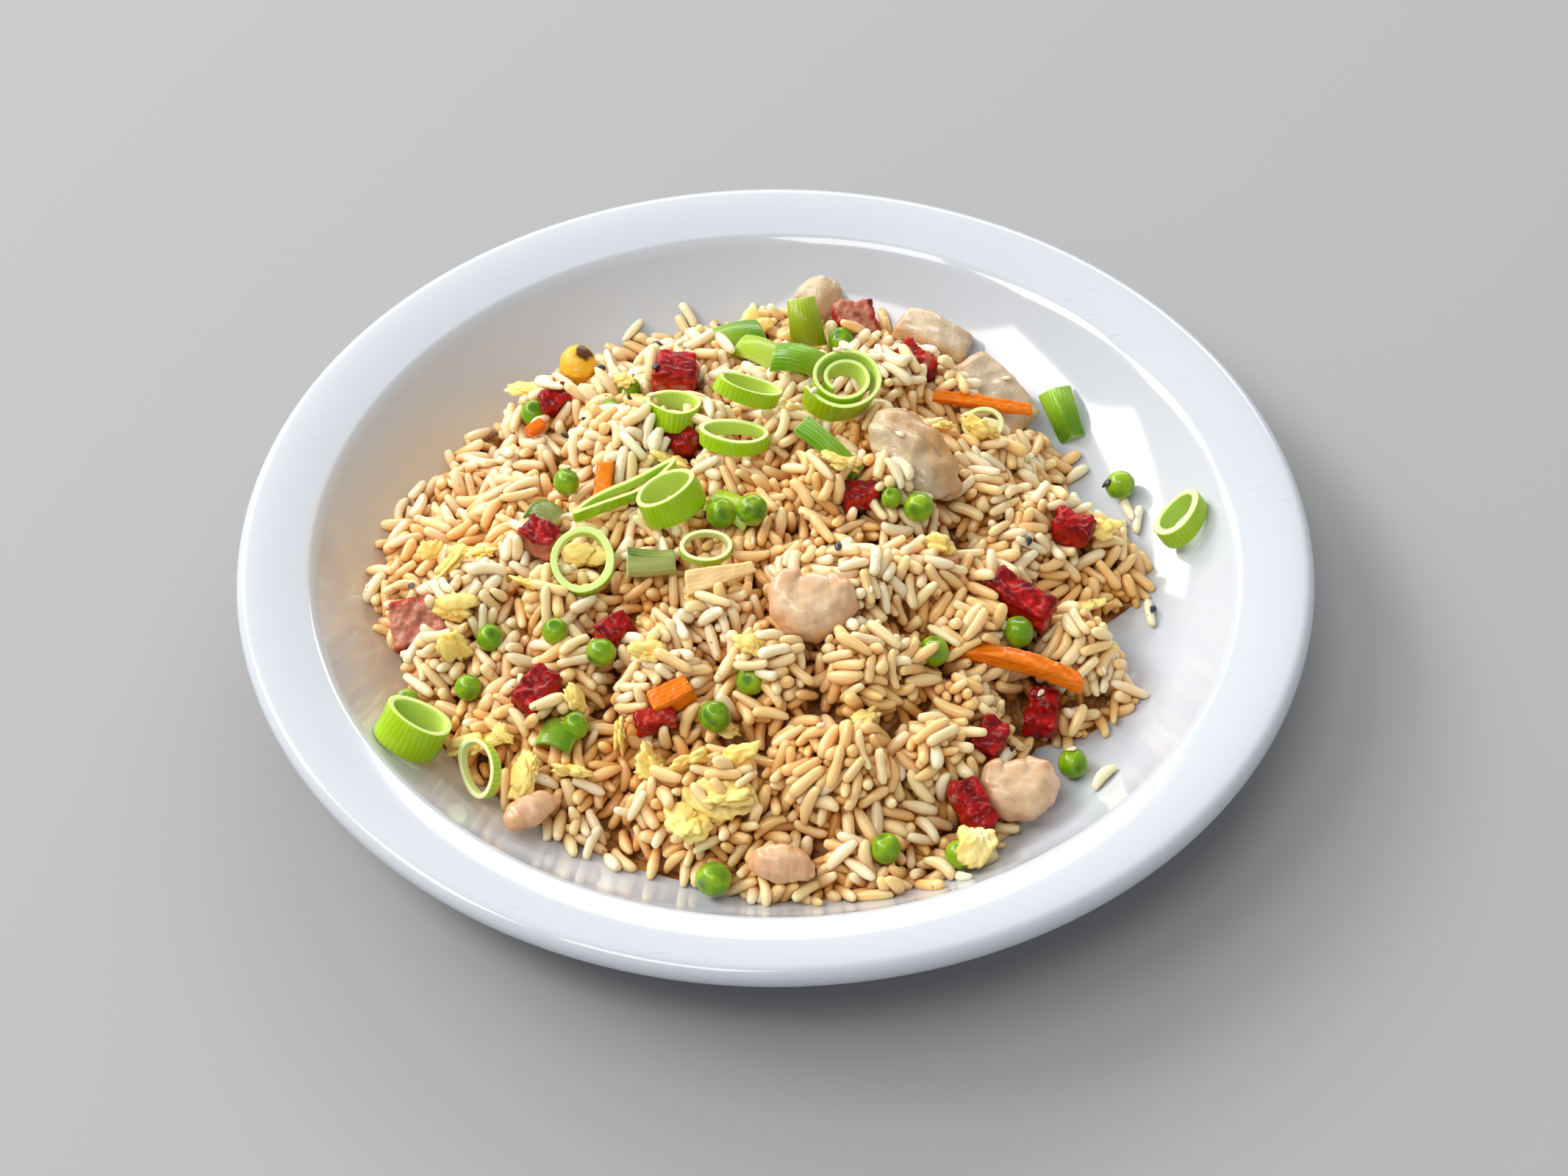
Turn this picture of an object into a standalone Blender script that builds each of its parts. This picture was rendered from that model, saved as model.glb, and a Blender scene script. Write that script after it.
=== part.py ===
"""A round white plate with a heap of fried rice and the pieces that lie in it: peas, roast pork,
prawns, chicken, spring onion, carrot, egg and bamboo shoot.

Metres, +Z up. The origin is on the table, under the middle of the plate. The sizes below are in
millimetres, and MM turns them into metres.
"""

import math
from functools import partial

import bmesh
import bpy
from mathutils import Vector

MM = 0.001

# The plate: its outer radius, the flat of the well, and the brow where the well meets the rim.
PLATE_R = 140.0
FLAT_R = 88.0
FLOOR_Z = 6.6
BROW_R = 121.0
BROW_Z = 28.0
WELL_CURVE = 1.9
WALL = 4.4
LIP_RADIUS = 3.3
RIM_TOP_Z = 30.6
FOOT_OUTER_R = 86.5
FOOT_INNER_R = 78.0
FOOT_EDGE = 0.5
TURN_STEPS = 40
WELL_STEPS = 6

# The heap: how far it reaches at each angle (degrees, millimetres), seen from above.
HEAP_SIDES = 48
HEAP_RINGS = 16
HEAP_OUTLINE = (
    (2, 105), (12, 101), (22, 90), (30, 96), (38, 96), (46, 97), (58, 104), (72, 107), (84, 107),
    (100, 105), (118, 105), (134, 103), (150, 104), (165, 107), (180, 110), (195, 105), (208, 106),
    (222, 103), (240, 102), (258, 103), (274, 109), (290, 112), (304, 104), (316, 93), (325, 87),
    (332, 101), (339, 105), (347, 97), (354, 88),
)
CROWN = 37.0
SKIRT = 2.0
BELOW = 8.0  # how far the heap's underside sinks before the well trims it
# Swells and hollows of its top: x, y, width and height of each.
SWELLS = (
    (14, 40, 34, 6.0), (30, 62, 20, 3.0), (-42, 48, 22, 2.5), (58, 34, 16, 2.5), (-62, -2, 22, 2.0),
    (-30, -30, 20, -2.5), (8, -34, 18, 2.0), (46, -30, 18, -2.5), (-20, 8, 16, -1.5),
    (24, -66, 20, 2.0), (-60, -50, 16, 1.5), (66, -4, 14, -2.0), (78, 14, 12, 1.5),
)
RIPPLE = 0.9

GAP = 0.35  # between a piece and the hollow that it lies in
BED_GAP = 0.45  # between the heap and the plate


def floor_height(r):
    """Height of the plate's eating surface at radius r, out to the brow."""
    t = min(max((r - FLAT_R) / (BROW_R - FLAT_R), 0.0), 1.0)
    return FLOOR_Z + (BROW_Z - FLOOR_Z) * t**WELL_CURVE


def heap_reach(angle):
    """How far the heap reaches at this angle, with an eased step from each named reach to the next."""
    degrees = math.degrees(angle) % 360
    turned = [(a + 360 if a < HEAP_OUTLINE[0][0] else a, r) for a, r in HEAP_OUTLINE]
    if degrees < HEAP_OUTLINE[0][0]:
        degrees += 360
    turned.append((HEAP_OUTLINE[0][0] + 360, HEAP_OUTLINE[0][1]))
    for (a0, r0), (a1, r1) in zip(turned, turned[1:]):
        if a0 <= degrees <= a1:
            t = (degrees - a0) / (a1 - a0)
            return r0 + (r1 - r0) * t * t * (3 - 2 * t)
    return turned[0][1]


def heap_height(x, y):
    """Height of the heap's top above the table at a place inside its outline."""
    r = math.hypot(x, y)
    share = min(r / heap_reach(math.atan2(y, x)), 1.0)
    dome = 0.55 * math.sqrt(1 - share * share) + 0.45 * (1 - share)
    swell = sum(h * math.exp(-((x - cx) ** 2 + (y - cy) ** 2) / w**2) for cx, cy, w, h in SWELLS)
    ripple = RIPPLE * (math.sin(0.16 * x + 1.3) * math.cos(0.19 * y) + math.sin(0.11 * (x - y)))
    return floor_height(r) + CROWN * dome + (swell + ripple) * (1 - share**4)


def surface_height(x, y):
    """Height of what a piece at this place lies on: the heap, or the bare plate beyond it."""
    r = math.hypot(x, y)
    inside = r < heap_reach(math.atan2(y, x))
    return heap_height(x, y) if inside else floor_height(r)


def clear_scene():
    for leftover in list(bpy.data.objects):
        bpy.data.objects.remove(leftover)


def new_collection(name, hidden=False):
    folder = bpy.data.collections.new(name)
    bpy.context.scene.collection.children.link(folder)
    folder.hide_render = hidden
    return folder


def new_material(name, colour, roughness):
    material = bpy.data.materials.new(name)
    material.use_nodes = True
    shader = material.node_tree.nodes["Principled BSDF"]
    shader.inputs["Base Color"].default_value = (*colour, 1.0)
    shader.inputs["Roughness"].default_value = roughness
    shader.inputs["Metallic"].default_value = 0.0
    return material


def new_object(name, bm):
    """An object from a mesh drawn in millimetres, shaded smooth where it is round."""
    bmesh.ops.scale(bm, vec=Vector((MM, MM, MM)), verts=bm.verts)
    bmesh.ops.recalc_face_normals(bm, faces=bm.faces)
    mesh = bpy.data.meshes.new(name)
    bm.to_mesh(mesh)
    bm.free()
    mesh.shade_smooth()
    mesh.set_sharp_from_angle(angle=math.radians(40))
    return bpy.data.objects.new(name, mesh)


def thicken(obj, thickness, offset):
    """Gives an open surface its wall. An offset of -1 puts it inside, and 0 puts it on both sides."""
    solidify = obj.modifiers.new("Wall", "SOLIDIFY")
    solidify.thickness = thickness * MM
    solidify.offset = offset
    solidify.use_even_offset = True


def turned(name, profile):
    """A turned solid from its profile: radius and height, from the axis at the top to the axis below."""
    bm = bmesh.new()
    points = [bm.verts.new((r, 0, z)) for r, z in profile]
    for upper, lower in zip(points, points[1:]):
        bm.edges.new((upper, lower))
    obj = new_object(name, bm)
    screw = obj.modifiers.new("Turn", "SCREW")
    screw.axis = "Z"
    screw.angle = math.tau
    screw.steps = TURN_STEPS
    screw.render_steps = TURN_STEPS
    screw.use_merge_vertices = True
    screw.merge_threshold = 0.00001
    return obj


def well_curve(steps, offset=0.0):
    """The plate's surface from the edge of the flat to the brow, moved square to itself by offset."""
    points = []
    for i in range(steps + 1):
        t = i / steps
        r = FLAT_R + (BROW_R - FLAT_R) * t
        slope = (BROW_Z - FLOOR_Z) / (BROW_R - FLAT_R) * WELL_CURVE * t ** (WELL_CURVE - 1)
        length = math.hypot(1, slope)
        points.append((r - offset * slope / length, floor_height(r) + offset / length))
    return points


def make_plate():
    """The plate: flat well, curved wall, gently domed rim, rounded lip, and a foot ring below."""
    lip_r = PLATE_R - LIP_RADIUS
    lip_z = RIM_TOP_Z - LIP_RADIUS
    profile = [(0, FLOOR_Z)] + well_curve(WELL_STEPS)
    for t in (0.3, 0.65):
        dome = math.sin(t * math.pi / 2)
        profile.append((BROW_R + (lip_r - BROW_R) * t, BROW_Z + (RIM_TOP_Z - BROW_Z) * dome))
    for degrees in (90, 50, 10, -35, -75):
        a = math.radians(degrees)
        profile.append((lip_r + LIP_RADIUS * math.cos(a), lip_z + LIP_RADIUS * math.sin(a)))
    profile += reversed(well_curve(WELL_STEPS - 1, -WALL)[:-1])
    profile += [
        (FOOT_OUTER_R, FOOT_EDGE), (FOOT_OUTER_R - FOOT_EDGE, 0),
        (FOOT_INNER_R + FOOT_EDGE, 0), (FOOT_INNER_R, FOOT_EDGE),
        (FOOT_INNER_R - 1.5, FLOOR_Z - WALL), (0, FLOOR_Z - WALL),
    ]
    return turned("plate", profile)


def make_well_room():
    """The space above the plate's eating surface, which bounds the heap from below."""
    ceiling = 80.0
    wall = well_curve(WELL_STEPS, BED_GAP)
    return turned("well_room", [(0, ceiling), (wall[-1][0], ceiling)] + wall[::-1] + [(0, wall[0][1])])


def make_heap(room, hollows):
    """The rice out to its uneven outline, bedded in the well, with a hollow round each piece in it."""
    bm = bmesh.new()
    bmesh.ops.create_uvsphere(bm, u_segments=HEAP_SIDES, v_segments=HEAP_RINGS, radius=1.0)
    for vert in bm.verts:
        angle = math.atan2(vert.co.y, vert.co.x)
        share = math.hypot(vert.co.x, vert.co.y)
        r = share * heap_reach(angle)
        x, y = r * math.cos(angle), r * math.sin(angle)
        top = vert.co.z > 0.001
        z = heap_height(x, y) if top else floor_height(r) - SKIRT + BELOW * vert.co.z
        vert.co = (x, y, z)
    heap = new_object("rice_heap", bm)
    bed = heap.modifiers.new("Bed in the well", "BOOLEAN")
    bed.operation = "INTERSECT"
    bed.object = room
    cut = heap.modifiers.new("Hollows", "BOOLEAN")
    cut.operation = "DIFFERENCE"
    cut.operand_type = "COLLECTION"
    cut.collection = hollows
    return heap


def ball(name, grow, radius, flat=1.0):
    """A pea."""
    bm = bmesh.new()
    bmesh.ops.create_icosphere(bm, subdivisions=2, radius=radius + grow)
    bmesh.ops.scale(bm, vec=Vector((1, 1, flat)), verts=bm.verts)
    return new_object(name, bm)


def lump(name, grow, size, uneven=0.12, phase=0.0):
    """A soft rounded piece of the given length, width and height, with a wavy surface."""
    bm = bmesh.new()
    bmesh.ops.create_icosphere(bm, subdivisions=2, radius=1.0)
    for vert in bm.verts:
        x, y, z = vert.co
        wave = 1 + uneven * (math.sin(3.1 * x + phase) + math.cos(2.7 * y - 1.9 * z + phase))
        vert.co = Vector([c * (side / 2 * wave + grow) for c, side in zip(vert.co, size)])
    return new_object(name, bm)


def block(name, grow, size, taper=0.1, bend=0.0, cuts=0):
    """A cut piece of meat or vegetable: a box with softened edges, narrower above, and bent along X."""
    bm = bmesh.new()
    bmesh.ops.create_cube(bm, size=1.0)
    along = [e for e in bm.edges if abs(e.verts[0].co.x - e.verts[1].co.x) > 0.5]
    if cuts:
        bmesh.ops.subdivide_edges(bm, edges=along, cuts=cuts)
    for vert in bm.verts:
        x, y, z = vert.co
        narrow = 1 - taper * (z + 0.5) - taper * (x + 0.5) * 0.7
        vert.co = (
            x * (size[0] + 2 * grow) * (1 - taper * y),
            y * (size[1] * narrow + 2 * grow),
            z * (size[2] + 2 * grow) + bend * (0.25 - x * x) * 4,
        )
    obj = new_object(name, bm)
    if not cuts:
        soften = obj.modifiers.new("Soft edges", "BEVEL")
        soften.width = 0.09 * min(size) * MM
        soften.segments = 1
        soften.limit_method = "NONE"
    return obj


def ring(name, grow, across, wall, height, sides=12):
    """A slice of spring onion: an oval tube with an open middle."""
    bm = bmesh.new()
    bmesh.ops.create_cone(bm, segments=sides, radius1=0.5, radius2=0.5, depth=1.0, cap_ends=False)
    long, short = across
    size = Vector((long + 2 * grow, short + 2 * grow, height + 2 * grow))
    bmesh.ops.scale(bm, vec=size, verts=bm.verts)
    obj = new_object(name, bm)
    thicken(obj, wall + 2 * grow, -1)
    return obj


def leaf(name, grow, length, width, gutter, thickness=1.3):
    """A strip of spring onion leaf, with a hollow back along its length."""
    bm = bmesh.new()
    bmesh.ops.create_grid(bm, x_segments=3, y_segments=2, size=0.5)
    for vert in bm.verts:
        x, y, _ = vert.co
        across = y * (width + 2 * grow) * (1 - 0.25 * (x + 0.5))
        vert.co = (x * (length + 2 * grow), across, gutter * (1 - 4 * y * y) - gutter * x * x)
    obj = new_object(name, bm)
    thicken(obj, thickness + 2 * grow, 0)
    return obj


def curl(name, grow, radius, pitch, turns, height, wall=1.2):
    """Spring onion layers that have slipped into a loose spiral."""
    steps = 22
    bm = bmesh.new()
    bmesh.ops.create_grid(bm, x_segments=steps, y_segments=1, size=0.5)
    for vert in bm.verts:
        t = vert.co.x + 0.5
        angle = t * turns * math.tau
        r = radius - pitch * turns * t
        z = vert.co.y * (height * (1 - 0.35 * t) + 2 * grow)
        vert.co = (r * math.cos(angle), r * math.sin(angle), z)
    obj = new_object(name, bm)
    thicken(obj, wall + 2 * grow, 0)
    return obj


def prawn(name, grow, length, width, arc, sides=8, rings=9):
    """A peeled prawn: a body that narrows from its thick end and curls through arc degrees."""
    bm = bmesh.new()
    bmesh.ops.create_uvsphere(bm, u_segments=sides, v_segments=rings, radius=1.0)
    sweep = math.radians(arc)
    spine = length / sweep
    middle = spine * math.sin(sweep / 2) / (sweep / 2)
    for vert in bm.verts:
        x, y, z = vert.co
        thick = (width / 2) * (1 - 0.15 * z)
        reach = math.asin(max(min(z, 1.0), -1.0)) / (math.pi / 2)
        around = math.hypot(x, y) ** 0.7 / max(math.hypot(x, y), 1e-6)
        out = spine + x * around * (thick + grow)
        angle = reach * (sweep / 2 + grow / spine)
        across = y * around * (0.8 * thick + grow)
        vert.co = (out * math.sin(angle), out * math.cos(angle) - middle, across)
    return new_object(name, bm)


def disc(name, grow, across, height, sides=10, flute=0.0):
    """A flat-ended round: the cooked yolk, or a fluted stub of onion leaf laid on its side."""
    bm = bmesh.new()
    radius = across / 2 + grow
    bmesh.ops.create_cone(
        bm, segments=sides, radius1=radius, radius2=radius * 0.92, depth=height + 2 * grow, cap_ends=True
    )
    for i, vert in enumerate(bm.verts):
        vert.co.x *= 1 + flute * (1 if i // 2 % 2 else -1)
    return new_object(name, bm)


def lay(name, make, place, lift, turn, material, pieces, hollows):
    """Sets a piece on the heap or the plate, with its middle lift mm above the surface there.

    turn is in degrees: it leans the piece towards -Y, rolls it towards +X and spins it, as
    turns about X, Y and its own Z. A grown copy of it cuts its hollow in the rice.
    """
    x, y = place
    for title, grow, folder in ((name, 0.0, pieces), (name + "_hollow", GAP, hollows)):
        piece = make(title, grow)
        piece.location = Vector((x, y, surface_height(x, y) + lift)) * MM
        piece.rotation_mode = "ZYX"
        piece.rotation_euler = [math.radians(a) for a in turn]
        piece.data.materials.append(material)
        folder.objects.link(piece)
        if folder is hollows:
            piece.hide_render = True
            piece.display_type = "WIRE"


# Peas: x, y, lift, radius.
PEAS = (
    (-66, 54, 2.0, 3.7), (-55, 17, 2.0, 3.7), (-14, -1, 2.0, 4.2), (-6, -4, 3.0, 4.2), (30, 4, 2.5, 2.9),
    (37, 2, 3.0, 4.1), (93, 35, 5.3, 4.2), (-56, -32, 2.0, 3.6), (-44, -40, 2.0, 3.9),
    (-15, -61, 3.0, 4.3), (-15, -101, 2.5, 4.5), (40, -40, 3.0, 4.0), (62, -30, 3.0, 4.2),
    (75, -61, 4.6, 3.9),
)
# Roast pork: x, y, lift, size, turn.
PORK = (
    (-27, 58, 3.0, (11, 12, 9), (0, 0, -8)),
    (-61, -1, 0.5, (10, 8, 8), (10, 0, -30)),
    (-92, -20, 2.0, (14, 14, 6), (35, -12, 10)),
    (-60, -49, 2.0, (12, 9, 7), (15, 0, 55)),
    (22, 90, 4.0, (11, 12, 6), (25, 10, 15)),
    (38, 66, 2.0, (12, 7, 8), (10, 15, -35)),
    (22, 7, -2.0, (9, 7, 6), (0, 0, 10)),
    (78, 9, 0.5, (10, 8, 7), (0, 10, -15)),
    (63, -20, 1.5, (18, 9, 8), (10, 5, -35)),
    (68, -46, 0.5, (8, 13, 7), (15, 0, -10)),
    (49, -81, 2.0, (14, 8, 7), (15, 5, -61)),
)
# Prawns: x, y, lift, length, width, arc, turn.
PRAWNS = (
    (9, -31, 3.0, 32, 12.2, 285, (35, 0, 170)),
    (60, -73, 5.5, 28, 10.8, 285, (28, 8, 185)),
    (-60, -80, 3.0, 16, 8, 60, (15, 0, 30)),
    (2, -100, 2.0, 18, 10, 70, (20, 0, -8)),
)
# Chicken: the crisp lump, two slices and the thick browned piece: x, y, lift, size, bend, turn.
CHICKEN = (
    (12, 102, 4.0, (16, 13, 11), None, (20, 0, 10)),
    (44, 87, 3.0, (21, 13, 5), 1.5, (0, 15, -20)),
    (60, 65, 3.0, (25, 16, 5), 1.5, (8, 22, -44)),
    (36, 20, 3.5, (30, 19, 13), None, (12, 10, -48)),
)
# Spring onion rings: x, y, lift, longer and shorter width, wall, height, turn.
ONION_RINGS = (
    (-28, 38, 4.0, (17, 15), 1.5, 6.0, (-24, 8, 0)),
    (-7, 39, 6.5, (20, 15), 1.5, 4.5, (-22, 22, 0)),
    (-11, 24, 3.0, (20, 12), 1.5, 4.0, (-15, 5, 0)),
    (-27, 2, 5.0, (17, 15.5), 1.5, 7.5, (-12, -20, 0)),
    (-49, -14, 2.0, (20, 16), 2.0, 3.0, (20, 0, 90)),
    (-18, -13, 2.0, (14, 11), 1.2, 2.4, (10, 0, 20)),
    (57, 41, 3.5, (12, 10), 1.2, 3.0, (30, 0, 0)),
    (108, 15, 6.6, (16, 12), 2.0, 6.0, (-4, -38, 60)),
    (-74, -69, 6.4, (17, 15), 1.4, 2.6, (42, -50, 90)),
)
# Spring onion leaf: x, y, lift, length, width, hollow of its back, turn.
ONION_LEAVES = (
    (6, 58, 3.5, 14, 9, 1.6, (25, 0, -12)),
    (8, 84, 6.0, 14, 10, 1.6, (45, 0, 100)),
    (14, 17, 4.0, 20, 6, 1.0, (35, 0, -42)),
    (79, 62, 5.2, 15, 9, 2.2, (35, -10, -70)),
)
ONION_LOOP = (-39, 9, 2.8, (33, 6.5), 1.4, 3.4, (0, -4, 35))
ONION_TUBE = (-91, -58, 8.7, (18, 16), 1.8, 9.0, (-20, 30, 20))
ONION_CURL = (17, 41, 6.0, 10.5, 3.0, 2.1, 7.5, (12, 6, 200))
ONION_STUB = (-32, -15, 4.0, 8.0, 13.0, (0, 90, 0))
# Carrot: x, y, lift, size, bend, turn.
CARROTS = (
    (-45, 15, 1.5, (11, 5, 5), 0.0, (20, 0, 85)),
    (56, 54, 3.5, (27, 4, 2), 0.6, (10, 10, -3)),
    (61, -39, 4.0, (34, 5, 4), 2.5, (0, 9, -12)),
    (-26, -54, 1.0, (11, 7, 6), 0.0, (15, -10, 25)),
)
# Scrambled egg: x, y, lift, size, turn; and the round cooked yolk: x, y, lift, width, height, turn.
EGG_CURDS = (
    (-15, -82, 1.5, (23, 12, 7), (30, 0, 5)),
    (49, -94, 4.9, (12, 10, 8), (20, 0, 30)),
)
EGG_YOLK = (-55, 77, 1.5, 11.0, 4.0, (15, 0, 0))
BAMBOO = (-14, -23, 3.0, (18, 9, 3), 0.5, (38, 0, 14))


def lay_peas(add):
    skin = new_material("pea_skin", (0.10, 0.30, 0.02), 0.3)
    for i, (x, y, lift, radius) in enumerate(PEAS, 1):
        add(f"pea_{i:02d}", partial(ball, radius=radius), (x, y), lift, (0, 0, 25 * i), skin)


def lay_meat(add):
    pork = new_material("roast_pork", (0.35, 0.03, 0.02), 0.4)
    for i, (x, y, lift, size, turn) in enumerate(PORK, 1):
        add(f"pork_{i:02d}", partial(block, size=size), (x, y), lift, turn, pork)
    pink = new_material("prawn_flesh", (0.85, 0.55, 0.42), 0.3)
    for i, (x, y, lift, length, width, arc, turn) in enumerate(PRAWNS, 1):
        shape = partial(prawn, length=length, width=width, arc=arc)
        add(f"prawn_{i}", shape, (x, y), lift, turn, pink)
    browned = new_material("chicken_meat", (0.68, 0.48, 0.28), 0.4)
    for i, (x, y, lift, size, bend, turn) in enumerate(CHICKEN, 1):
        if bend is None:
            shape = partial(lump, size=size, uneven=0.06, phase=i)
        else:
            shape = partial(block, size=size, bend=bend, cuts=3)
        add(f"chicken_{i}", shape, (x, y), lift, turn, browned)


def lay_spring_onion(add):
    green = new_material("onion_green", (0.28, 0.52, 0.03), 0.35)
    for i, (x, y, lift, across, wall, height, turn) in enumerate(ONION_RINGS, 1):
        shape = partial(ring, across=across, wall=wall, height=height)
        add(f"onion_ring_{i}", shape, (x, y), lift, turn, green)
    for i, (x, y, lift, length, width, gutter, turn) in enumerate(ONION_LEAVES, 1):
        shape = partial(leaf, length=length, width=width, gutter=gutter)
        add(f"onion_leaf_{i}", shape, (x, y), lift, turn, green)
    for name, row, sides in (("onion_loop", ONION_LOOP, 14), ("onion_tube", ONION_TUBE, 12)):
        x, y, lift, across, wall, height, turn = row
        shape = partial(ring, across=across, wall=wall, height=height, sides=sides)
        add(name, shape, (x, y), lift, turn, green)
    x, y, lift, radius, pitch, turns, height, turn = ONION_CURL
    shape = partial(curl, radius=radius, pitch=pitch, turns=turns, height=height)
    add("onion_curl", shape, (x, y), lift, turn, green)
    x, y, lift, across, height, turn = ONION_STUB
    shape = partial(disc, across=across, height=height, flute=0.05)
    add("onion_stub", shape, (x, y), lift, turn, green)


def lay_vegetables_and_egg(add):
    orange = new_material("carrot_flesh", (0.85, 0.22, 0.02), 0.35)
    for i, (x, y, lift, size, bend, turn) in enumerate(CARROTS, 1):
        shape = partial(block, size=size, bend=bend, cuts=4 if bend else 0)
        add(f"carrot_{i}", shape, (x, y), lift, turn, orange)
    x, y, lift, size, bend, turn = BAMBOO
    cream = new_material("bamboo_flesh", (0.80, 0.62, 0.30), 0.4)
    add("bamboo_slice", partial(block, size=size, bend=bend, cuts=2), (x, y), lift, turn, cream)
    yellow = new_material("egg_curd", (0.88, 0.58, 0.12), 0.45)
    for i, (x, y, lift, size, turn) in enumerate(EGG_CURDS, 1):
        add(f"egg_curd_{i}", partial(lump, size=size, phase=i), (x, y), lift, turn, yellow)
    x, y, lift, across, height, turn = EGG_YOLK
    add("egg_yolk", partial(disc, across=across, height=height), (x, y), lift, turn, yellow)


def main():
    clear_scene()
    dish = new_collection("fried_rice_plate")
    hollows = new_collection("hollows", hidden=True)
    rooms = new_collection("rooms", hidden=True)
    plate = make_plate()
    plate.data.materials.append(new_material("plate_glaze", (0.86, 0.88, 0.90), 0.15))
    dish.objects.link(plate)
    room = make_well_room()
    room.hide_render = True
    room.display_type = "WIRE"
    rooms.objects.link(room)
    add = partial(lay, pieces=dish, hollows=hollows)
    lay_peas(add)
    lay_meat(add)
    lay_spring_onion(add)
    lay_vegetables_and_egg(add)
    heap = make_heap(room, hollows)
    heap.data.materials.append(new_material("fried_rice", (0.78, 0.56, 0.32), 0.4))
    dish.objects.link(heap)


main()
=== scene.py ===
"""A round white plate with a heap of fried rice: loose grains over a smaller core, and the pieces
of pork, prawn, chicken, egg, pea, spring onion, carrot and bamboo shoot that lie in them."""

import math

import bmesh
import bpy
import numpy as np
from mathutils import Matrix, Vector
from mathutils.bvhtree import BVHTree


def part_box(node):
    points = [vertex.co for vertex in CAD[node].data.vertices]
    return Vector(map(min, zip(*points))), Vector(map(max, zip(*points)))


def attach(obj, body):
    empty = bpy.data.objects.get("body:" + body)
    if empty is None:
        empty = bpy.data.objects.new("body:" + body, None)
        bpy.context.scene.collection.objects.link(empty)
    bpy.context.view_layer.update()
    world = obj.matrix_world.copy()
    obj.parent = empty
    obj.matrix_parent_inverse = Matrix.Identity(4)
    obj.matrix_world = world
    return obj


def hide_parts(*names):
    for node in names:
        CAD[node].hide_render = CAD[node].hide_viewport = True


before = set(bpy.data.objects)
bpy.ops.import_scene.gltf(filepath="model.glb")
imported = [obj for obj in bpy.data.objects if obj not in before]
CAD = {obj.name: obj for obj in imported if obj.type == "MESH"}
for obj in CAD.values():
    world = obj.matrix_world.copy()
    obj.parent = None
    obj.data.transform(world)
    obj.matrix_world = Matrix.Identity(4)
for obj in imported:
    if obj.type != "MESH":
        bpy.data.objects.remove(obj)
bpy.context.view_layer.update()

MM = 0.001
UP = np.array([0.0, 0.0, 1.0])


# ---------------------------------------------------------------- modelling helpers


def only(obj):
    """Makes obj the one selected and active object."""
    bpy.ops.object.select_all(action="DESELECT")
    obj.select_set(True)
    bpy.context.view_layer.objects.active = obj
    return obj


def added(name):
    """Names the object that a primitive operator has just added."""
    obj = bpy.context.active_object
    obj.name = name
    obj.data.name = name
    return obj


def edit(obj, kind="VERT"):
    """Opens obj in edit mode with nothing selected."""
    only(obj)
    bpy.ops.object.mode_set(mode="EDIT")
    bpy.ops.mesh.select_mode(type=kind)
    bpy.ops.mesh.select_all(action="DESELECT")


def pick(obj, wanted):
    """Selects, in edit mode, the vertices whose place answers to wanted."""
    bpy.ops.mesh.select_mode(type="VERT")
    bpy.ops.mesh.select_all(action="DESELECT")
    drawn = bmesh.from_edit_mesh(obj.data)
    for vert in drawn.verts:
        vert.select = bool(wanted(vert.co))
    drawn.select_flush_mode()
    bmesh.update_edit_mesh(obj.data)


def close_edit():
    """Goes back to object mode."""
    bpy.ops.object.mode_set(mode="OBJECT")


def apply(obj, kind, **settings):
    """Adds a modifier of this kind to obj and applies it."""
    modifier = obj.modifiers.new(kind, kind)
    for name, value in settings.items():
        setattr(modifier, name, value)
    only(obj)
    bpy.ops.object.modifier_apply(modifier=modifier.name)


def smooth(obj, angle):
    """Shades obj smoothly over edges less sharp than angle, in degrees."""
    only(obj)
    bpy.ops.object.shade_smooth_by_angle(angle=math.radians(angle))


def points_of(obj):
    """The places of obj's vertices as an array, in metres."""
    places = np.empty(len(obj.data.vertices) * 3)
    obj.data.vertices.foreach_get("co", places)
    return places.reshape(-1, 3)


def normals_of(obj):
    obj.data.update()
    return np.array([tuple(n.vector) for n in obj.data.vertex_normals])


def move_points(obj, places):
    """Puts the vertices of obj in these places."""
    obj.data.vertices.foreach_set("co", np.ascontiguousarray(places, float).ravel())
    obj.data.update()


def in_order(obj):
    """Numbers obj's points and faces by where they lie, because Blender numbers them anew each run."""
    places = points_of(obj)
    order = np.lexsort(places.T)
    number = np.argsort(order)
    faces = []
    for face in obj.data.polygons:
        corners = [int(number[i]) for i in face.vertices]
        first = corners.index(min(corners))
        faces.append(corners[first:] + corners[:first])
    mesh = bpy.data.meshes.new(obj.name)
    mesh.from_pydata(places[order].tolist(), [], sorted(faces))
    obj.data = mesh
    return obj


def paint(obj, *values):
    """Stores up to three values, each one number or one for each vertex, as the piece's detail."""
    colours = np.ones((len(obj.data.vertices), 4))
    for column, value in enumerate(values):
        colours[:, column] = np.clip(np.asarray(value, float), 0, 1)
    layer = obj.data.color_attributes.new("detail", "FLOAT_COLOR", "POINT")
    layer.data.foreach_set("color", colours.ravel())


def waves(places, size, seed, octaves=3):
    """Smooth uneven values, about -1 to 1, over places, with swells of the given size in metres."""
    rng = np.random.default_rng(seed)
    total = np.zeros(len(places))
    share = 1.0
    for _ in range(octaves):
        for _ in range(5):
            direction = rng.normal(size=3)
            direction *= math.tau / size / np.linalg.norm(direction) * rng.uniform(0.6, 1.3)
            total += share * 0.45 * np.sin(places @ direction + rng.uniform(0, math.tau))
        share *= 0.5
        size *= 0.5
    return total


def finished(obj, material, slot, *nodes):
    """Gives a piece its material and its body, and hides the CAD nodes that it stands for; the slot is
    not used.
    """
    obj.data.materials.clear()
    obj.data.materials.append(material)
    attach(obj, "root")
    if nodes:
        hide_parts(*nodes)
    return obj


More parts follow.
